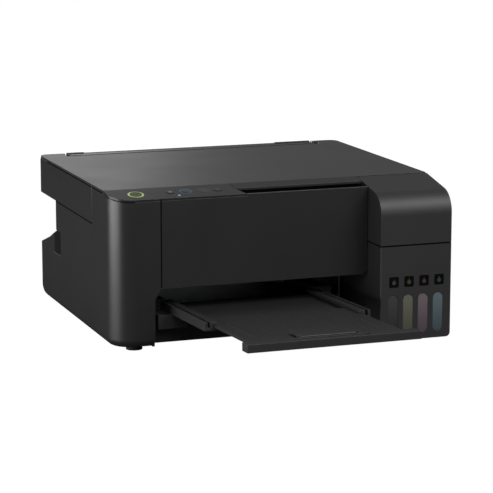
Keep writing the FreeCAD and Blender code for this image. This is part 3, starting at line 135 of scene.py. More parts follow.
# What the plastics share; each of them below names only what differs from the case
caseLook = {"colour": "#161616", "hazeColour": "#191919", "edgeColour": "#3a3a3a",
            "grainMm": 0.7, "hazeMm": 70, "edgeMm": 0.5, "roughness": 0.38, "bump": 0.16,
            "ior": 1.52, "specular": 0.54}
plasticLooks = {
    # Satin black shells with long soft highlights down their corners
    "caseAbs": {},
    # The tank unit is duller, so its bent cover shows one broad band of light
    "tankAbs": {"edgeColour": "#343434", "roughness": 0.55, "specular": 0.56},
    # Matt lid with a coarser grain that spreads the sky into a grey sheen
    "lidAbs": {"colour": "#171717", "hazeColour": "#1b1b1b", "edgeColour": "#4a4a4a",
               "grainMm": 0.9, "hazeMm": 90, "roughness": 0.5, "bump": 0.22, "specular": 0.42},
    # Control panel and scanner frame: deeper black and nearly smooth
    "panelAbs": {"colour": "#101011", "hazeColour": "#141415", "edgeColour": "#3c3c3c",
                 "grainMm": 0.6, "hazeMm": 50, "edgeMm": 0.35, "bump": 0.08, "specular": 0.45},
    # Dull, dark underside
    "baseAbs": {"colour": "#121212", "hazeColour": "#171717", "edgeColour": "#2c2c2c",
                "grainMm": 1.0, "hazeMm": 60, "roughness": 0.6, "bump": 0.2, "specular": 0.35},
    # Feeder parts: a shade paler than the case, with crisp edges
    "feederAbs": {"colour": "#171717", "hazeColour": "#1c1c1c", "edgeColour": "#3e3e3e",
                  "hazeMm": 60, "edgeMm": 0.4, "roughness": 0.48, "specular": 0.42},
    # Tray: the palest of the blacks, its rims painted paler as rubbed wear and a painted highlight
    "trayAbs": {"colour": "#1a1a1a", "hazeColour": "#202020", "edgeColour": "#454545",
                "grainMm": 0.8, "hazeMm": 60, "edgeMm": 0.4, "roughness": 0.5, "bump": 0.2,
                "specular": 0.42},
    # Small keys: smooth, with a glint on the rim
    "keyAbs": {"colour": "#0f0f10", "hazeColour": "#131314", "edgeColour": "#3a3a3c",
               "grainMm": 0.5, "hazeMm": 15, "edgeMm": 0.35, "roughness": 0.34, "bump": 0.05,
               "specular": 0.45},
    # Power key, tinted by the lit ring round it
    "powerKeyAbs": {"colour": "#2f381b", "hazeColour": "#353f1f", "edgeColour": "#4a5630",
                    "grainMm": 0.5, "hazeMm": 12, "edgeMm": 0.35, "roughness": 0.4,
                    "bump": 0.05, "specular": 0.4},
    # Copy key, tinted blue
    "copyKeyAbs": {"colour": "#1c272d", "hazeColour": "#212c32", "edgeColour": "#36434a",
                   "grainMm": 0.5, "hazeMm": 12, "edgeMm": 0.35, "roughness": 0.4,
                   "bump": 0.05, "specular": 0.4},
    # Mechanism: dark grey, so that it stands off the black case
    "innerPolystyrene": {"colour": "#262729", "hazeColour": "#2e2f31", "edgeColour": "#4a4a4c",
                         "grainMm": 1.0, "hazeMm": 40, "edgeMm": 0.4, "roughness": 0.55,
                         "bump": 0.15, "ior": 1.55, "specular": 0.4},
    # Pulleys and pinch rollers: waxy white
    "pulleyAcetal": {"colour": "#d8d5cc", "hazeColour": "#e2e0d8", "edgeColour": "#efede6",
                     "grainMm": 0.6, "hazeMm": 12, "edgeMm": 0.3, "roughness": 0.42,
                     "bump": 0.05, "ior": 1.48, "specular": 0.45},
    # Lid pad: soft white with a leathery grain
    "padVinyl": {"colour": "#e6e6e2", "hazeColour": "#efefec", "edgeColour": "#f6f6f4",
                 "grainMm": 1.2, "hazeMm": 45, "edgeMm": 0.8, "roughness": 0.62, "bump": 0.25,
                 "ior": 1.5, "specular": 0.4},
    # Filler caps: slightly waxy black
    "capPolypropylene": {"colour": "#1d1d1f", "hazeColour": "#242427", "edgeColour": "#48484a",
                         "grainMm": 0.6, "hazeMm": 15, "edgeMm": 0.4, "roughness": 0.42,
                         "bump": 0.08, "ior": 1.49, "specular": 0.45},
    # Rollers: ground rubber, grey and without a highlight
    "rollerRubber": {"colour": "#3a3b3d", "hazeColour": "#47484a", "edgeColour": "#5a5b5d",
                     "grainMm": 0.6, "hazeMm": 8, "edgeMm": 0.3, "roughness": 0.78, "bump": 0.4,
                     "specular": 0.3},
    # Feet: dull black rubber
    "footRubber": {"colour": "#151515", "hazeColour": "#1d1d1d", "edgeColour": "#303030",
                   "grainMm": 0.8, "hazeMm": 8, "roughness": 0.82, "bump": 0.3, "specular": 0.3},
    # Badges: the deepest black, smooth
    "badgeAcrylic": {"colour": "#060606", "hazeColour": "#080808", "edgeColour": "#1c1c1c",
                     "grainMm": 0.5, "hazeMm": 15, "edgeMm": 0.2, "roughness": 0.3,
                     "bump": 0.02, "ior": 1.49, "specular": 0.12},
    # Painted shade for the gaps: a black line that takes no light
    "paintedGapShade": {"colour": "#040404", "hazeColour": "#060606", "edgeColour": "#080808",
                 "grainMm": 0.6, "hazeMm": 10, "edgeMm": 0.2, "roughness": 0.9, "bump": 0.3,
                 "ior": 1.4, "specular": 0.05},
    # Painted shade for the cable relief: a dark patch, not quite as black as the painted gap shade
    "paintedRecessShade": {"colour": "#0c0c0c", "hazeColour": "#101010", "edgeColour": "#121212",
                "grainMm": 0.6, "hazeMm": 10, "edgeMm": 0.1, "roughness": 0.8, "bump": 0.3,
                "ior": 1.4, "specular": 0.2},
    # Rear plate: a grey film with a faint gloss
    "labelPolyester": {"colour": "#232426", "hazeColour": "#27282a", "edgeColour": "#3c3c3e",
                       "grainMm": 0.6, "hazeMm": 20, "edgeMm": 0.2, "roughness": 0.36,
                       "bump": 0.04, "ior": 1.57, "specular": 0.45},
}
plastics = {name: mouldedPlastic(name, {**caseLook, **look}) for name, look in plasticLooks.items()}

# Rolled or turned steel: fine parallel streaks that stretch the highlights
drawn = {"detail": 3.0, "glossSpread": 0.08, "bump": 0.08, "depthMm": 0.05}


def streakedSteel(name, look):
    material, tree, shader, place = startMaterial(name)
    stretch = addNode(tree, "Mapping", {"Vector": place, "Scale": look["streak"]})
    streak = noise(tree, stretch.outputs["Vector"], look["grainMm"], drawn["detail"])
    gloss = remap(tree, streak, (0.0, 1.0), (look["roughness"] - drawn["glossSpread"],
                                             look["roughness"] + drawn["glossSpread"]))
    relief = addNode(tree, "Bump", {"Strength": drawn["bump"], "Distance": drawn["depthMm"] * mm,
                                    "Height": streak})
    tone = blend(tree, streak, linear(look["colour"]), linear(look["pale"]))
    feed(tree, shader, {"Base Color": tone, "Metallic": 1.0, "Roughness": gloss,
                        "Normal": relief.outputs["Normal"]})
    return material


steelLooks = {
    # Guide rods, feed roller and pins: bright, with a sharp line of light
    "groundSteelRod": {"colour": "#b4b6b9", "pale": "#cdcfd2", "roughness": 0.18, "grainMm": 0.6,
                       "streak": (0.05, 1.0, 1.0)},
    # Engine frame and port liner: greyer, clouded by the plating
    "zincPlatedSheet": {"colour": "#8f9396", "pale": "#b3b7ba", "roughness": 0.36, "grainMm": 1.5,
                        "streak": (0.1, 1.0, 1.0)},
    # Nozzle plate: warm and finely brushed
    "headStainless": {"colour": "#a9a9a6", "pale": "#c6c6c2", "roughness": 0.28, "grainMm": 0.5,
                      "streak": (1.0, 0.1, 1.0)},
    # Screws: black with a dull metal glint
    "blackOxideScrew": {"colour": "#2b2c2e", "pale": "#3c3d40", "roughness": 0.42, "grainMm": 0.8,
                        "streak": (1.0, 1.0, 1.0)},
    # Motors: drawn cans in mid grey
    "motorCan": {"colour": "#7d7f82", "pale": "#a0a3a6", "roughness": 0.32, "grainMm": 0.8,
                 "streak": (0.1, 1.0, 1.0)},
}
steels = {name: streakedSteel(name, look) for name, look in steelLooks.items()}

# Ink in a milky polypropylene tank: ink colour below the fill line, pale wall above it
tankLook = {"fillMm": 50, "blurMm": 0.8, "swirlMm": 18, "detail": 3.0, "roughness": 0.32,
            "ior": 1.49, "glow": 0.1, "glowM": 0.002}
tankInks = {
    "black": {"ink": "#0b0b0d", "thin": "#17171a", "wall": "#b9b9b2"},
    "yellow": {"ink": "#c79a10", "thin": "#e0b828", "wall": "#c6c4ae"},
    "magenta": {"ink": "#8e1450", "thin": "#b02a68", "wall": "#c6b8bd"},
    "cyan": {"ink": "#0a5f8c", "thin": "#1f7fac", "wall": "#b6c1c6"},
}


def inkTank(name, look, colours):
    material, tree, shader, place = startMaterial(name)
    height = addNode(tree, "SeparateXYZ", {"Vector": place}).outputs["Z"]
    level = remap(tree, height, (look["fillMm"] * mm, (look["fillMm"] + look["blurMm"]) * mm))
    swirl = noise(tree, place, look["swirlMm"], look["detail"])
    ink = blend(tree, swirl, linear(colours["ink"]), linear(colours["thin"]))
    body = blend(tree, level, ink, linear(colours["wall"]))
    feed(tree, shader, {"Base Color": body, "Roughness": look["roughness"], "IOR": look["ior"],
                        "Subsurface Weight": look["glow"], "Subsurface Scale": look["glowM"]})
    return material


inks = {colour: inkTank("inkTank" + colour.title(), tankLook, colours)
        for colour, colours in tankInks.items()}

# Smoked polystyrene level windows: the ink behind tints each one, paler at the top where
# the tank is empty, under a clear polished face
windowLook = {"tints": ["#262627", "#454439", "#4a3f45", "#39454b"],
              "empty": ["#373737", "#5b5a50", "#61575c", "#525f65"],
              "startsMm": [104, 128, 146, 163.5], "spanMm": (100, 200), "levelMm": (12, 56),
              "edgeMm": 1.5, "roughness": 0.22, "ior": 1.59, "specular": 0.4, "coat": 0.3,
              "coatRoughness": 0.08}


# A ramp along X that changes colour at the start of each window
def windowRamp(tree, across, look, colours):
    ramp = addNode(tree, "ValToRGB", {"Fac": across})
    stops = ramp.color_ramp.elements
    ramp.color_ramp.interpolation = "CONSTANT"
    low, high = look["spanMm"]
    for index, (start, colour) in enumerate(zip(look["startsMm"], colours)):
        position = (start - low) / (high - low)
        stop = stops[index] if index < 2 else stops.new(position)
        stop.position = position
        stop.color = linear(colour)
    return ramp.outputs["Color"]


def smokedWindow(look):
    material, tree, shader, place = startMaterial("smokedPolystyrene")
    parts = addNode(tree, "SeparateXYZ", {"Vector": place})
    across = remap(tree, parts.outputs["X"], [x * mm for x in look["spanMm"]])
    level = remap(tree, parts.outputs["Z"], [z * mm for z in look["levelMm"]],
                  interpolation_type="SMOOTHSTEP")
    full, empty = (windowRamp(tree, across, look, look[kind]) for kind in ("tints", "empty"))
    feed(tree, shader, {"Base Color": blend(tree, level, full, empty), "IOR": look["ior"],
                        "Roughness": look["roughness"], "Specular IOR Level": look["specular"],
                        "Normal": roundedNormal(tree, look["edgeMm"]),
                        "Coat Weight": look["coat"], "Coat Roughness": look["coatRoughness"]})
    return material


# Float glass over the scan bed: clear with a faint green body and a smear in its gloss
glassLook = {"colour": "#e4efe9", "ior": 1.52, "smearMm": 60, "detail": 4.0,
             "smearSpan": (0.4, 0.8), "gloss": (0.02, 0.09)}


def floatGlass(look):
    material, tree, shader, place = startMaterial("floatGlass")
    smear = noise(tree, place, look["smearMm"], look["detail"])
    feed(tree, shader, {"Base Color": linear(look["colour"]), "Transmission Weight": 1.0,
                        "IOR": look["ior"],
                        "Roughness": remap(tree, smear, look["smearSpan"], look["gloss"])})
    return material


# Glass-epoxy board under green solder mask: tracks show as faint paler lines
boardLook = {"colours": ("#0f4a2a", "#125431"), "track": "#2a7a4c", "pitchMm": 24,
             "trackSize": 0.03, "long": 0.7, "wide": 0.2, "offset": 0.5, "squash": 0.6,
             "roughness": 0.34, "ior": 1.5}


def solderMask(look):
    material, tree, shader, place = startMaterial("solderMaskBoard")
    first, second = look["colours"]
    tracks = addNode(tree, "TexBrick",
                     {"Vector": place, "Scale": 1 / (look["pitchMm"] * mm),
                      "Color1": linear(first), "Color2": linear(second),
                      "Mortar": linear(look["track"]), "Mortar Size": look["trackSize"],
                      "Brick Width": look["long"], "Row Height": look["wide"]},
                     offset=look["offset"], squash=look["squash"])
    feed(tree, shader, {"Base Color": tracks.outputs["Color"], "Roughness": look["roughness"],
                        "IOR": look["ior"]})
    return material


# Clear acrylic lit from below: an even glow, brighter in soft random patches
acrylic = {"detail": 1.0, "roughness": 0.3, "ior": 1.49}


def lightGuide(name, look):
    material, tree, shader, place = startMaterial(name)
    spread = noise(tree, place, look["patchMm"], acrylic["detail"])
    glow = blend(tree, spread, linear(look["glow"]), linear(look["bright"]))
    feed(tree, shader, {"Base Color": linear(look["body"]), "Roughness": acrylic["roughness"],
                        "IOR": acrylic["ior"], "Emission Color": glow,
                        "Emission Strength": look["strength"]})
    return material


guideLooks = {
    # Ring round the power key
    "litAcrylicGreen": {"glow": "#8ca352", "bright": "#b9c78c", "body": "#566338", "patchMm": 6,
                        "strength": 0.72},
    # Lamp on the control panel
    "litAcrylicBlue": {"glow": "#7c8fa8", "bright": "#a2b0c2", "body": "#5f7084", "patchMm": 2,
                       "strength": 0.6},
    # Ring round the copy key, hardly lit
    "dimAcrylicBlue": {"glow": "#253640", "bright": "#2f4450", "body": "#2a3a44", "patchMm": 3,
                       "strength": 0.35},
    # Lens strip of the scan bar: pale grey, almost dark
    "clearLensAcrylic": {"glow": "#9aa4a8", "bright": "#b4bcc0", "body": "#9ca4a8", "patchMm": 30,
                         "strength": 0.05},
}
guides = {name: lightGuide(name, look) for name, look in guideLooks.items()}

# Silicone ink tubes: soft, slightly cloudy
tubeLook = {"colour": "#8d9193", "pale": "#b4b8ba", "cloudMm": 6, "detail": 2.0, "roughness": 0.36,
            "ior": 1.41, "glow": 0.2, "glowM": 0.002}


def siliconeTube(look):
    material, tree, shader, place = startMaterial("siliconeTube")
    cloud = noise(tree, place, look["cloudMm"], look["detail"])
    tone = blend(tree, cloud, linear(look["colour"]), linear(look["pale"]))
    feed(tree, shader, {"Base Color": tone, "Roughness": look["roughness"], "IOR": look["ior"],
                        "Subsurface Weight": look["glow"], "Subsurface Scale": look["glowM"]})
    return material


# Neoprene timing belt: dull black, with paler teeth across it every 2 mm. A wave texture at
# scale 1 repeats every 0.314.
beltLook = {"colour": "#121212", "pale": "#242424", "pitchMm": 2, "wavePitch": 0.314, "bump": 0.5,
            "depthMm": 0.4, "roughness": 0.7, "ior": 1.52}


def timingBelt(look):
    material, tree, shader, place = startMaterial("timingBelt")
    scale = look["wavePitch"] / (look["pitchMm"] * mm)
    teeth = addNode(tree, "TexWave", {"Vector": place, "Scale": scale, "Distortion": 0.0},
                    wave_type="BANDS", bands_direction="X").outputs["Fac"]
    relief = addNode(tree, "Bump", {"Strength": look["bump"], "Distance": look["depthMm"] * mm,
                                    "Height": teeth})
    tone = blend(tree, teeth, linear(look["colour"]), linear(look["pale"]))
    feed(tree, shader, {"Base Color": tone, "Roughness": look["roughness"], "IOR": look["ior"],
                        "Normal": relief.outputs["Normal"]})
    return material


# Pad-printed ink for the small symbols: flat colour, slightly broken where the grain stands up
printLook = {"speckMm": 0.5, "detail": 2.0, "roughness": 0.55, "ior": 1.5, "specular": 0.15}


def printedInk(name, colour, worn):
    material, tree, shader, place = startMaterial(name)
    speck = noise(tree, place, printLook["speckMm"], printLook["detail"])
    feed(tree, shader, {"Base Color": blend(tree, speck, linear(colour), linear(worn)),
                        "Roughness": printLook["roughness"], "IOR": printLook["ior"],
                        "Specular IOR Level": printLook["specular"]})
    return material


paleInk = printedInk("padPrintPale", "#949494", "#7c7c7c")
greyInk = printedInk("padPrintGrey", "#5c5e60", "#4a4c4e")
greenInk = printedInk("padPrintGreen", "#56603c", "#465030")

finishes = [
    (plastics["caseAbs"], ["main_case", "front_panel", "scanner_housing"]),
    (plastics["tankAbs"], ["tank_housing", "tank_cover"]),
    (plastics["lidAbs"], ["lid_shell"]),
    (plastics["panelAbs"], ["control_panel", "scanner_bezel"]),
    (plastics["baseAbs"], ["base_pan"]),
    (plastics["footRubber"], ["rubber_feet"]),
    (plastics["keyAbs"], ["network_key", "stop_key", "power_inlet"]),
    (plastics["powerKeyAbs"], ["power_button"]),
    (plastics["copyKeyAbs"], ["copy_key"]),
    (plastics["capPolypropylene"], ["tank_cap_" + colour for colour in inks]),
    (plastics["feederAbs"], ["feeder_housing", "paper_support", "feeder_guard", "edge_guide_left",
                             "edge_guide_right"]),
    (plastics["trayAbs"], ["tray_main", "tray_extension", "tray_stopper"]),
    (plastics["innerPolystyrene"], ["scan_carriage", "paper_guide", "print_carriage",
                                    "star_wheel_bar", "platen", "cap_station", "power_supply"]),
    (plastics["pulleyAcetal"], ["drive_pulley", "idler_pulley", "pinch_rollers", "motor_pulley"]),
    (plastics["padVinyl"], ["lid_pad"]),
    (plastics["rollerRubber"], ["pickup_roller", "exit_roller"]),
    (steels["groundSteelRod"], ["scan_rod", "guide_rod", "feed_roller"]),
    (steels["zincPlatedSheet"], ["engine_frame"]),
    (steels["headStainless"], ["print_head"]),
    (steels["motorCan"], ["carriage_motor", "feed_motor"]),
    (smokedWindow(windowLook), ["tank_windows"]),
    (floatGlass(glassLook), ["scan_glass"]),
    (solderMask(boardLook), ["main_board"]),
    (guides["litAcrylicGreen"], ["power_ring"]),
    (siliconeTube(tubeLook), ["ink_tubes"]),
    (timingBelt(beltLook), ["carriage_belt", "feed_belts"]),
] + [(material, ["ink_tank_" + colour]) for colour, material in inks.items()]
for material, names in finishes:
    for name in names:
        nodes[name].data.materials.clear()
        nodes[name].data.materials.append(material)
bare = sorted(set(nodes) - {name for material, names in finishes for name in names})
print("finishes set, nodes without one:", bare)


def newObject(name, bm):
    mesh = bpy.data.meshes.new(name)
    bm.to_mesh(mesh)
    bm.free()
    made = bpy.data.objects.new(name, mesh)
    bpy.context.scene.collection.objects.link(made)
    return made


def keepPiece(name, bm, material, body):
    bmesh.ops.recalc_face_normals(bm, faces=bm.faces[:])
    piece = newObject(name, bm)
    piece.data.materials.append(material)
    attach(piece, body)


def moveAll(bm, vec):
    bmesh.ops.translate(bm, vec=vec, verts=bm.verts[:])


def turnAll(bm, angle, axis):
    bmesh.ops.rotate(bm, matrix=Matrix.Rotation(angle, 3, axis), verts=bm.verts[:])


def plainBlock(bm, size, centre):
    made = bmesh.ops.create_cube(bm, size=1.0)["verts"]
    bmesh.ops.scale(bm, vec=size, verts=made)
    bmesh.ops.translate(bm, vec=centre, verts=made)
    return made


def roundEdges(bm, edges, offset, segments):
    return bmesh.ops.bevel(bm, geom=edges, offset=offset, offset_type="OFFSET", segments=segments,
                           profile=0.5, affect="EDGES", material=-1)


# A block with its edges along one axis rounded to the corner radius and its other edges eased
blockLook = {"cornerSteps": 6, "easeSteps": 2, "straight": 0.99}


def roundedBlock(bm, size, cornerMm, easeMm, axis, centre):
    made = plainBlock(bm, size, centre)
    upright = []
    for edge in {e for v in made for e in v.link_edges}:
        run = (edge.verts[0].co - edge.verts[1].co).normalized()
        if abs(run[axis]) > blockLook["straight"]:
            upright.append(edge)
    turned = roundEdges(bm, upright, cornerMm * mm, blockLook["cornerSteps"])
    faces = {f for v in turned["verts"] for f in v.link_faces}
    ends = [f for f in faces if abs(f.normal[axis]) > blockLook["straight"]]
    rims = {e for f in ends for e in f.edges}
    roundEdges(bm, list(rims), easeMm * mm, blockLook["easeSteps"])


# Flat strips for symbols, drawn in XY and later raised to their thickness
def arcStrip(bm, ringMm, startDeg, sweepDeg, centreMm=(0, 0)):
    x, y = centreMm
    start, sweep = math.radians(startDeg), math.radians(sweepDeg)
    ends = [bm.verts.new(((x + r * math.cos(start)) * mm, (y + r * math.sin(start)) * mm, 0))
            for r in ringMm]
    line = bm.edges.new(ends)
    stepsPerRadian = 8
    bmesh.ops.spin(bm, geom=ends + [line], angle=sweep, steps=int(sweep * stepsPerRadian),
                   axis=(0, 0, 1), cent=(x * mm, y * mm, 0), use_merge=sweepDeg >= 360)


def barStrip(bm, sizeMm, centreMm, turn=0.0):
    made = bmesh.ops.create_grid(bm, x_segments=1, y_segments=1, size=0.5)["verts"]
    bmesh.ops.scale(bm, vec=(sizeMm[0] * mm, sizeMm[1] * mm, 1), verts=made)
    bmesh.ops.rotate(bm, matrix=Matrix.Rotation(turn, 3, "Z"), verts=made)
    bmesh.ops.translate(bm, vec=(centreMm[0] * mm, centreMm[1] * mm, 0), verts=made)


def raiseFaces(bm, vec):
    lifted = bmesh.ops.extrude_face_region(bm, geom=bm.faces[:])["geom"]
    corners = [v for v in lifted if isinstance(v, bmesh.types.BMVert)]
    bmesh.ops.translate(bm, vec=vec, verts=corners)


# Colour badges over the level windows: gloss black tiles, each with a drop symbol
badge = {"centresMm": [119.7, 137.6, 155.5, 173.4], "sizeMm": (11.3, 0.5, 12.0), "heightMm": 71.5,
         "cornerMm": 1.6, "easeMm": 0.15, "dropMm": 2.3, "dropSides": 24, "tipMm": 2.53,
         "dropDownMm": 0.8, "inkMm": 0.08, "dropInk": ["#343434", "#3a3828", "#3a2c32", "#2a363c"]}
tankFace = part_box("tank_housing")[0][1]


def tankBadges(look):
    size = Vector(look["sizeMm"]) * mm
    bm = bmesh.new()
    for x in look["centresMm"]:
        roundedBlock(bm, size, look["cornerMm"], look["easeMm"], 1,
                     (x * mm, tankFace, look["heightMm"] * mm))
    keepPiece("tankBadges", bm, plastics["badgeAcrylic"], "chassis")
    for index, (x, colour) in enumerate(zip(look["centresMm"], look["dropInk"])):
        bm = bmesh.new()
        made = bmesh.ops.create_circle(bm, cap_ends=True, segments=look["dropSides"],
                                       radius=look["dropMm"] * mm)["verts"]
        tip = max(made, key=lambda v: v.co.y)
        tip.co.y += look["tipMm"] * mm
        raiseFaces(bm, (0, 0, look["inkMm"] * mm))
        turnAll(bm, quarterTurn, "X")
        moveAll(bm, (x * mm, tankFace - size[1] / 2, (look["heightMm"] - look["dropDownMm"]) * mm))
        ink = printedInk(f"badgeInk{index}", colour, colour)
        keepPiece(f"badgeDrop{index}", bm, ink, "chassis")


tankBadges(badge)
print("badges made")

# Painted shade in the gaps: dark strips beside the front panel, along the foot of the scanner,
# under the tank cover and under the lid's edges, where the scanner carries the longer lengths.
# Each row is a body, a centre in mm and a size in mm.
gapShades = {"panel": ("chassis", (-133.6, -34.65, 123.5), (1.4, 1.06, 95.0)),
        "footLeft": ("chassis", (-187.0, 121.0, 135.65), (1.06, 154.0, 1.5)),
        "footRight": ("chassis", (187.0, 121.0, 135.65), (1.06, 154.0, 1.5)),
        "tankFront": ("chassis", (145.75, -71.8, 111.8), (82.4, 1.3, 1.5)),
        "tankLeft": ("chassis", (104.4, -37.6, 111.8), (1.3, 68.0, 1.4)),
        "tankRight": ("chassis", (187.0, -37.6, 111.8), (1.1, 68.0, 1.4)),
        "frontLeft": ("chassis", (-187.0, 22.0, 175.75), (1.1, 42.0, 1.4)),
        "frontRight": ("chassis", (187.0, 22.0, 175.75), (1.1, 42.0, 1.4)),
        "lidLeft": ("scanner_unit", (-187.0, 140.0, 175.75), (1.1, 190.0, 1.4)),
        "lidRight": ("scanner_unit", (187.0, 140.0, 175.75), (1.1, 190.0, 1.4))}


# Each row becomes a flat-coloured block: painted shade or a painted highlight, as its material
# gives
def paintedStrips(look, material):
    for name, (body, centre, size) in look.items():
        bm = bmesh.new()
        plainBlock(bm, Vector(size) * mm, Vector(centre) * mm)
        keepPiece(name + "Seal", bm, material, body)


paintedStrips(gapShades, plastics["paintedGapShade"])

# Painted highlight on the case where the scanner's front edges meet it: a paler grey strip
edgeHighlights = {"leftEdgeHighlight": ("chassis", (-187.0, 42.9, 155.5), (1.06, 0.6, 37.0)),
       "rightEdgeHighlight": ("chassis", (187.0, 42.9, 155.5), (1.06, 0.6, 37.0))}
paintedStrips(edgeHighlights, plastics["rollerRubber"])

# The sloping control panel and what lies on it: it falls towards the front from the crease
panel = {"slopeDeg": 11.178, "creaseMm": -1.75, "topMm": 179.0, "inkMm": 0.06, "keyLiftMm": 0.4,
         "powerLiftMm": 0.6, "powerAtMm": (-156.5, -18.75), "networkAtMm": (-118.0, -17.65),
         "copyAtMm": (-100.5, -17.65), "stopAtMm": (-64.5, -17.65)}
slope = math.radians(panel["slopeDeg"])

# The painted gap shade follows the pillar's corner under the sloping panel
cornerGapShade = {"centreMm": (-161.5, -9.15), "radiusMm": 26.05, "deepMm": 0.6, "highMm": 0.9,
              "underMm": 2.6, "sweepDeg": 88.0, "steps": 20}


# A curved dark strip: painted shade in the gap under the sloping panel
def pillarSeal(look):
    bm = bmesh.new()
    barStrip(bm, (look["deepMm"], look["highMm"]), (0, 0))
    turnAll(bm, quarterTurn, "X")
    moveAll(bm, (-(look["radiusMm"] - look["deepMm"] / 2) * mm, 0, 0))
    bmesh.ops.spin(bm, geom=bm.faces[:] + bm.edges[:] + bm.verts[:], steps=look["steps"],
                   angle=math.radians(look["sweepDeg"]), axis=(0, 0, 1), cent=(0, 0, 0))
    slant = Matrix.Identity(4)
    slant[2][1] = math.tan(slope)
    x, y = look["centreMm"]
    moveAll(bm, (x * mm, (y - panel["creaseMm"]) * mm, 0))
    bmesh.ops.transform(bm, matrix=slant, verts=bm.verts[:])
    moveAll(bm, (0, panel["creaseMm"] * mm, (panel["topMm"] - look["underMm"]) * mm))
    keepPiece("pillarSeal", bm, plastics["paintedGapShade"], "chassis")


pillarSeal(cornerGapShade)

# Painted shade in the shallow cable relief beside the left rear notch: a dark sheet with an
# outline in Y and Z that lies on the relief's slanting face
reliefShade = {"outlineMm": [(178.5, 74.3), (206.0, 74.3), (206.0, 97.4), (198.1, 100.8),
                           (178.5, 100.8)],
             "frontMm": 178.25, "deepMm": 1.6, "slant": 2.1 / 44, "thickMm": 0.1}


def recessShadePatch(look):
    bm = bmesh.new()
    corners = []
    for y, z in look["outlineMm"]:
        inset = look["deepMm"] - look["slant"] * (y - look["frontMm"])
        corners.append(bm.verts.new((cadLow[0] + inset * mm, y * mm, z * mm)))
    bm.faces.new(corners)
    raiseFaces(bm, (-look["thickMm"] * mm, 0, 0))
    keepPiece("recessShadePatch", bm, plastics["paintedRecessShade"], "chassis")


recessShadePatch(reliefShade)
print("gap seals, lips and pad made")


# Raises a flat symbol to its ink's thickness and lays it on the sloping panel
def layOnPanel(bm, atMm, liftMm):
    raiseFaces(bm, (0, 0, panel["inkMm"] * mm))
    x, y = atMm
    height = panel["topMm"] + (y - panel["creaseMm"]) * math.tan(slope)
    normal = Vector((0, -math.sin(slope), math.cos(slope)))
    turnAll(bm, slope, "X")
    moveAll(bm, (Vector((x, y, height)) + normal * liftMm) * mm)


# Power sign: an open ring with a bar in its gap
powerSign = {"ringMm": (2.3, 2.9), "startDeg": 125, "sweepDeg": 290, "barMm": (0.6, 3.0),
             "barAtMm": (0, 2.0)}


def powerSymbol(look):
    bm = bmesh.new()
    arcStrip(bm, look["ringMm"], look["startDeg"], look["sweepDeg"])
    barStrip(bm, look["barMm"], look["barAtMm"])
    layOnPanel(bm, panel["powerAtMm"], panel["powerLiftMm"])
    keepPiece("powerSymbol", bm, greenInk, "power_button")


# Network sign: a dot under two arcs
networkSign = {"arcsMm": ((0.0001, 0.9), (1.6, 2.3), (3.1, 3.8)), "startDeg": 50, "sweepDeg": 80,
               "footMm": (0, -2.2)}


def networkSymbol(look):
    bm = bmesh.new()
    for ring in look["arcsMm"]:
        arcStrip(bm, ring, look["startDeg"], look["sweepDeg"], look["footMm"])
    layOnPanel(bm, panel["networkAtMm"], panel["keyLiftMm"])
    keepPiece("networkSymbol", bm, paleInk, "network_key")


# Copy sign: the outlines of two pages, each of four bars given by size and place
copySign = {"pagesMm": ((-0.6, 0.5), (0.6, -0.5)),
            "barsMm": (((2.6, 0.3), (0, 1.5)), ((2.6, 0.3), (0, -1.5)),
                       ((0.3, 3.0), (-1.15, 0)), ((0.3, 3.0), (1.15, 0)))}


def copySymbol(look):
    bm = bmesh.new()
    for pageX, pageY in look["pagesMm"]:
        for size, (x, y) in look["barsMm"]:
            barStrip(bm, size, (x + pageX, y + pageY))
    layOnPanel(bm, panel["copyAtMm"], panel["keyLiftMm"])
    keepPiece("copySymbol", bm, greyInk, "copy_key")


# Stop sign: a square in a ring
stopSign = {"ringMm": (1.7, 2.1), "squareMm": (1.5, 1.5)}


def stopSymbol(look):
    bm = bmesh.new()
    arcStrip(bm, look["ringMm"], 0, 360)
    barStrip(bm, look["squareMm"], (0, 0))
    layOnPanel(bm, panel["stopAtMm"], panel["keyLiftMm"])
    keepPiece("stopSymbol", bm, greyInk, "stop_key")


# A lamp, the lit ring of the copy key, and the printed ring of the ink lamp beside it
lampLook = {"spotAtMm": (-111.0, -28.0), "spotMm": 1.5, "spotSides": 20, "ringMm": (5.0, 7.0),
            "inkAtMm": (-80.0, -17.2), "inkRingMm": (5.4, 6.0), "inkBarMm": (0.9, 5.0),
            "inkBarsMm": (-1.8, 0.0, 1.8)}


def panelLamps(look):
    bm = bmesh.new()
    bmesh.ops.create_circle(bm, cap_ends=True, segments=look["spotSides"],
                            radius=look["spotMm"] * mm)
    layOnPanel(bm, look["spotAtMm"], 0.0)
    keepPiece("panelLamp0", bm, guides["litAcrylicBlue"], "chassis")
    bm = bmesh.new()
    arcStrip(bm, look["ringMm"], 0, 360)
    layOnPanel(bm, panel["copyAtMm"], 0.0)
    keepPiece("copyRing", bm, guides["dimAcrylicBlue"], "chassis")
    bm = bmesh.new()
    arcStrip(bm, look["inkRingMm"], 0, 360)
    for across in look["inkBarsMm"]:
        barStrip(bm, look["inkBarMm"], (across, 0))
    layOnPanel(bm, look["inkAtMm"], 0.0)
    keepPiece("inkLampRing", bm, greyInk, "chassis")


powerSymbol(powerSign)
networkSymbol(networkSign)
copySymbol(copySign)
stopSymbol(stopSign)
panelLamps(lampLook)
print("panel symbols made")

# Black screws whose cross recesses are painted shade, dark crosses raised on the heads: four
# through the rear wall at X and Z, four up through the base at X and Y
screw = {"headMm": 2.8, "topMm": 2.1, "highMm": 0.8, "sides": 24, "crossMm": (2.9, 0.7),
         "crossHighMm": 0.06, "crossTurn": 0.4,
         "rearMm": [(-125, 62), (58, 62), (-125, 124), (58, 124)],
         "baseMm": [(-110, 30), (90, 60), (-110, 190), (110, 190)]}
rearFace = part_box("main_case")[1][1]
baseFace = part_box("base_pan")[0][2]


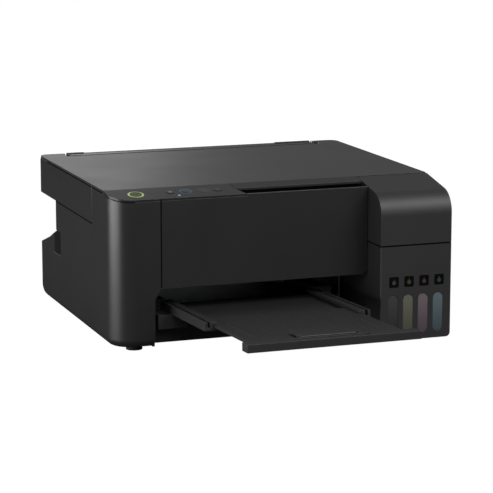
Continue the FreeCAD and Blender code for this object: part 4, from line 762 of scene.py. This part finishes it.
# The heads are drawn facing up and then tipped about X onto their face, which turns the
# second coordinate round
def screwHeads(name, look, spots, tip, face):
    heads, crossShades = bmesh.new(), bmesh.new()
    for x, y in spots:
        made = bmesh.ops.create_cone(heads, cap_ends=True, segments=look["sides"],
                                     radius1=look["headMm"] * mm, radius2=look["topMm"] * mm,
                                     depth=look["highMm"] * mm)["verts"]
        bmesh.ops.translate(heads, vec=(x * mm, -y * mm, 0), verts=made)
        # Each recess is a dark cross raised on the head: painted shade, not a cut
        for angle in (look["crossTurn"], look["crossTurn"] + quarterTurn):
            barStrip(crossShades, look["crossMm"], (x, -y), angle)
    raiseFaces(crossShades, (0, 0, look["crossHighMm"] * mm))
    moveAll(crossShades, (0, 0, look["highMm"] * mm / 2))
    for bm in (heads, crossShades):
        turnAll(bm, tip, "X")
        moveAll(bm, face)
    keepPiece(name + "Screws", heads, steels["blackOxideScrew"], "chassis")
    keepPiece(name + "CrossShades", crossShades, plastics["baseAbs"], "chassis")


screwHeads("rear", screw, screw["rearMm"], -quarterTurn, (0, rearFace, 0))
screwHeads("base", screw, screw["baseMm"], 2 * quarterTurn, (0, 0, baseFace))

# Bare plate on the rear wall
plate = {"sizeMm": (62, 0.3, 34), "atMm": (-32, 92), "cornerMm": 2.5, "easeMm": 0.1}


def barePlate(look):
    bm = bmesh.new()
    x, z = look["atMm"]
    roundedBlock(bm, Vector(look["sizeMm"]) * mm, look["cornerMm"], look["easeMm"], 1,
                 (x * mm, rearFace, z * mm))
    keepPiece("barePlate", bm, plastics["labelPolyester"], "chassis")


barePlate(plate)

# Plated pins of the power inlet, and the plated liner and the tongue of the data port
socket = {"pinsMm": ((-172.5, 190.2, 109.5), (-164.5, 190.2, 109.5)), "pinMm": 1.25,
          "pinLongMm": 8.4, "pinSides": 20, "portMm": (-177.0, 194.3, 124.5),
          "linerMm": (8.0, 7.0, 7.0), "linerWallMm": 0.3, "tongueMm": (4.6, 5.6, 2.6),
          "tongueCornerMm": 0.4, "tongueEaseMm": 0.15}


def sockets(look):
    bm = bmesh.new()
    for spot in look["pinsMm"]:
        made = bmesh.ops.create_cone(bm, cap_ends=True, segments=look["pinSides"],
                                     radius1=look["pinMm"] * mm, radius2=look["pinMm"] * mm,
                                     depth=look["pinLongMm"] * mm)["verts"]
        bmesh.ops.rotate(bm, matrix=Matrix.Rotation(quarterTurn, 3, "X"), verts=made)
        bmesh.ops.translate(bm, vec=Vector(spot) * mm, verts=made)
    keepPiece("inletPins", bm, steels["groundSteelRod"], "chassis")
    port = Vector(look["portMm"]) * mm
    wall = look["linerWallMm"] * mm
    bm = bmesh.new()
    for side in (-1, 1):
        for axis in (0, 2):
            size = Vector(look["linerMm"]) * mm
            centre = port.copy()
            centre[axis] += side * (size[axis] - wall) / 2
            size[axis] = wall
            plainBlock(bm, size, centre)
    keepPiece("portLiner", bm, steels["zincPlatedSheet"], "chassis")
    bm = bmesh.new()
    roundedBlock(bm, Vector(look["tongueMm"]) * mm, look["tongueCornerMm"], look["tongueEaseMm"],
                 1, port)
    keepPiece("portTongue", bm, plastics["pulleyAcetal"], "chassis")


sockets(socket)

# Size ticks and the corner arrow printed on the scan bed's frame, beside the glass
ticks = {"gapMm": 3.0, "tickMm": (5.0, 0.5), "alongMm": (105, 148, 182, 210), "arrowMm": 2.4,
         "inkMm": 0.06}
bedLow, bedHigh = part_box("scan_glass")


def bedMarks(look):
    bm = bmesh.new()
    across = bedHigh[0] / mm + look["gapMm"] + look["tickMm"][0] / 2
    start = bedLow[1] / mm
    for along in look["alongMm"]:
        barStrip(bm, look["tickMm"], (across, start + along))
    made = bmesh.ops.create_circle(bm, cap_ends=True, segments=3,
                                   radius=look["arrowMm"] * mm)["verts"]
    bmesh.ops.rotate(bm, matrix=Matrix.Rotation(quarterTurn, 3, "Z"), verts=made)
    bmesh.ops.translate(bm, vec=(across * mm, (start + look["gapMm"]) * mm, 0), verts=made)
    raiseFaces(bm, (0, 0, look["inkMm"] * mm))
    moveAll(bm, (0, 0, bedHigh[2]))
    keepPiece("bedMarks", bm, paleInk, "scanner_unit")


bedMarks(ticks)

# Lens strip of the scan bar, under the glass
lens = {"widthMm": 5.0, "highMm": 0.3, "insetMm": 6.0, "cornerMm": 1.0, "easeMm": 0.1}
barLow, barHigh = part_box("scan_carriage")


def scanLens(look):
    bm = bmesh.new()
    middle = (barLow + barHigh) / 2
    run = barHigh[1] - barLow[1] - 2 * look["insetMm"] * mm
    roundedBlock(bm, (look["widthMm"] * mm, run, look["highMm"] * mm), look["cornerMm"],
                 look["easeMm"], 2, (middle[0], middle[1], barHigh[2]))
    keepPiece("scanLens", bm, guides["clearLensAcrylic"], "scan_bar")


scanLens(lens)

# Colour discs on the tank caps
disc = {"behindMm": 36.0, "radiusMm": 4.6, "sides": 32, "thickMm": 0.12,
        "inks": {"black": "#3a3a3c", "yellow": "#c9a524", "magenta": "#a82a66", "cyan": "#2580a8"}}


def capDiscs(look):
    for colour, ink in look["inks"].items():
        low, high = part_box("tank_cap_" + colour)
        bm = bmesh.new()
        bmesh.ops.create_circle(bm, cap_ends=True, segments=look["sides"],
                                radius=look["radiusMm"] * mm)
        raiseFaces(bm, (0, 0, look["thickMm"] * mm))
        moveAll(bm, ((low[0] + high[0]) / 2, tankFace + look["behindMm"] * mm, high[2]))
        keepPiece("capDisc" + colour.title(), bm, printedInk("capInk" + colour.title(), ink, ink),
                  "cap_" + colour)


capDiscs(disc)

# Low ribs along the tray's extension, half sunk into its sloping top
rib = {"slopeDeg": 2.9, "frontMm": -35.15, "lowMm": 46.0, "runMm": (80.0, 184.0), "topMm": 5.8,
       "widthMm": 1.6, "highMm": 0.8, "cornerMm": 0.7, "easeMm": 0.3,
       "acrossMm": (-98, -74, -50, -26, -2, 22, 38)}


def trayRibs(look):
    bm = bmesh.new()
    near, far = look["runMm"]
    size = Vector((look["widthMm"], far - near, look["highMm"])) * mm
    for x in look["acrossMm"]:
        roundedBlock(bm, size, look["cornerMm"], look["easeMm"], 2,
                     Vector((x, -(near + far) / 2, look["topMm"])) * mm)
    turnAll(bm, -math.radians(look["slopeDeg"]), "X")
    moveAll(bm, (0, look["frontMm"] * mm, look["lowMm"] * mm))
    keepPiece("trayRibs", bm, plastics["trayAbs"], "extension")


trayRibs(rib)
print("screws, sockets, marks and ribs made")

# Camera at the photograph's view
view = {"placeM": (-0.8177, -2.21745, 0.5615), "yawDeg": 19.67, "pitchDeg": 10.91, "lensMm": 160.0,
        "sensorMm": 36.0}
cameraData = bpy.data.cameras.new("camera")
cameraData.lens = view["lensMm"]
cameraData.sensor_width = view["sensorMm"]
camera = bpy.data.objects.new("camera", cameraData)
camera.location = view["placeM"]
camera.rotation_euler = (quarterTurn - math.radians(view["pitchDeg"]), 0,
                         -math.radians(view["yawDeg"]))
bpy.context.scene.collection.objects.link(camera)
bpy.context.scene.camera = camera

# A floor and surround that are white to the camera. Reflections meet them darker, so that the
# black sides stay black.
stageLook = {"floorSizeM": 12.0, "floorDropMm": 0.5, "floorColour": "#505050", "roughness": 0.9,
             "specular": 0.1, "floorLift": 0.96, "whiteLift": 1.04, "surround": 0.33}
white = (1, 1, 1, 1)


def studioFloor(look):
    bm = bmesh.new()
    bmesh.ops.create_grid(bm, x_segments=1, y_segments=1, size=look["floorSizeM"] / 2)
    moveAll(bm, (0, 0, -look["floorDropMm"] * mm))
    floor = newObject("studioFloor", bm)
    material, tree, shader, place = startMaterial("paleFloor")
    feed(tree, shader, {"Base Color": linear(look["floorColour"]), "Roughness": look["roughness"],
                        "Specular IOR Level": look["specular"]})
    rays = addNode(tree, "LightPath")
    seen = addNode(tree, "Math", {0: rays.outputs["Is Camera Ray"], 1: look["floorLift"]},
                   operation="MULTIPLY")
    bright = addNode(tree, "Emission", {"Color": white, "Strength": look["whiteLift"]})
    lifted = addNode(tree, "MixShader", {0: seen.outputs["Value"], 1: shader.outputs["BSDF"],
                                         2: bright.outputs["Emission"]})
    feed(tree, tree.nodes["Material Output"], {"Surface": lifted.outputs["Shader"]})
    floor.data.materials.append(material)


def whiteSurround(look):
    world = bpy.data.worlds.new("whiteSurround")
    bpy.context.scene.world = world
    world.use_nodes = True
    tree = world.node_tree
    rays = addNode(tree, "LightPath").outputs
    clear = addNode(tree, "Math", {0: rays["Is Camera Ray"], 1: rays["Is Transmission Ray"]},
                    operation="MAXIMUM")
    strength = remap(tree, clear.outputs["Value"], (0.0, 1.0), (look["surround"], 1.0))
    feed(tree, tree.nodes["Background"], {"Color": white, "Strength": strength})


studioFloor(stageLook)
whiteSurround(stageLook)

# Softboxes: one over the left shoulder, a panel low on the left for the pillar, a strip
# overhead for the tank cover, one low behind for the lid's sheen, and a low fill for the rear wall
lamps = {
    "overLeft": {"placeM": (-0.55, -2.0, 1.6), "aimM": (-0.15, 0, 0.1), "sizeM": (1.2, 1.0),
                 "watts": 22},
    "leftStrip": {"placeM": (-1.15, 0.0, 0.13), "aimM": (-0.17, -0.02, 0.11),
                  "sizeM": (0.95, 0.24), "watts": 9},
    "overheadStrip": {"placeM": (0.9, -1.25, 1.5), "aimM": (0.14, -0.05, 0.15),
                      "sizeM": (1.3, 0.8), "watts": 27},
    "behindLid": {"placeM": (-0.1, 1.35, 0.5), "aimM": (-0.1, 0.1, 0.18), "sizeM": (0.8, 0.5),
                  "watts": 2.3},
    "rearFill": {"placeM": (0.36, 1.5, 0.085), "aimM": (0.36, 0.25, 0.085), "sizeM": (1.0, 0.14),
                 "watts": 14},
}
for name, look in lamps.items():
    lampData = bpy.data.lights.new(name, "AREA")
    lampData.shape = "RECTANGLE"
    lampData.size, lampData.size_y = look["sizeM"]
    lampData.energy = look["watts"]
    lamp = bpy.data.objects.new(name, lampData)
    lamp.location = look["placeM"]
    aim = Vector(look["aimM"]) - Vector(look["placeM"])
    lamp.rotation_euler = aim.to_track_quat("-Z", "Y").to_euler()
    bpy.context.scene.collection.objects.link(lamp)

bpy.context.scene.view_settings.view_transform = "Standard"
print("stage and lamps set")
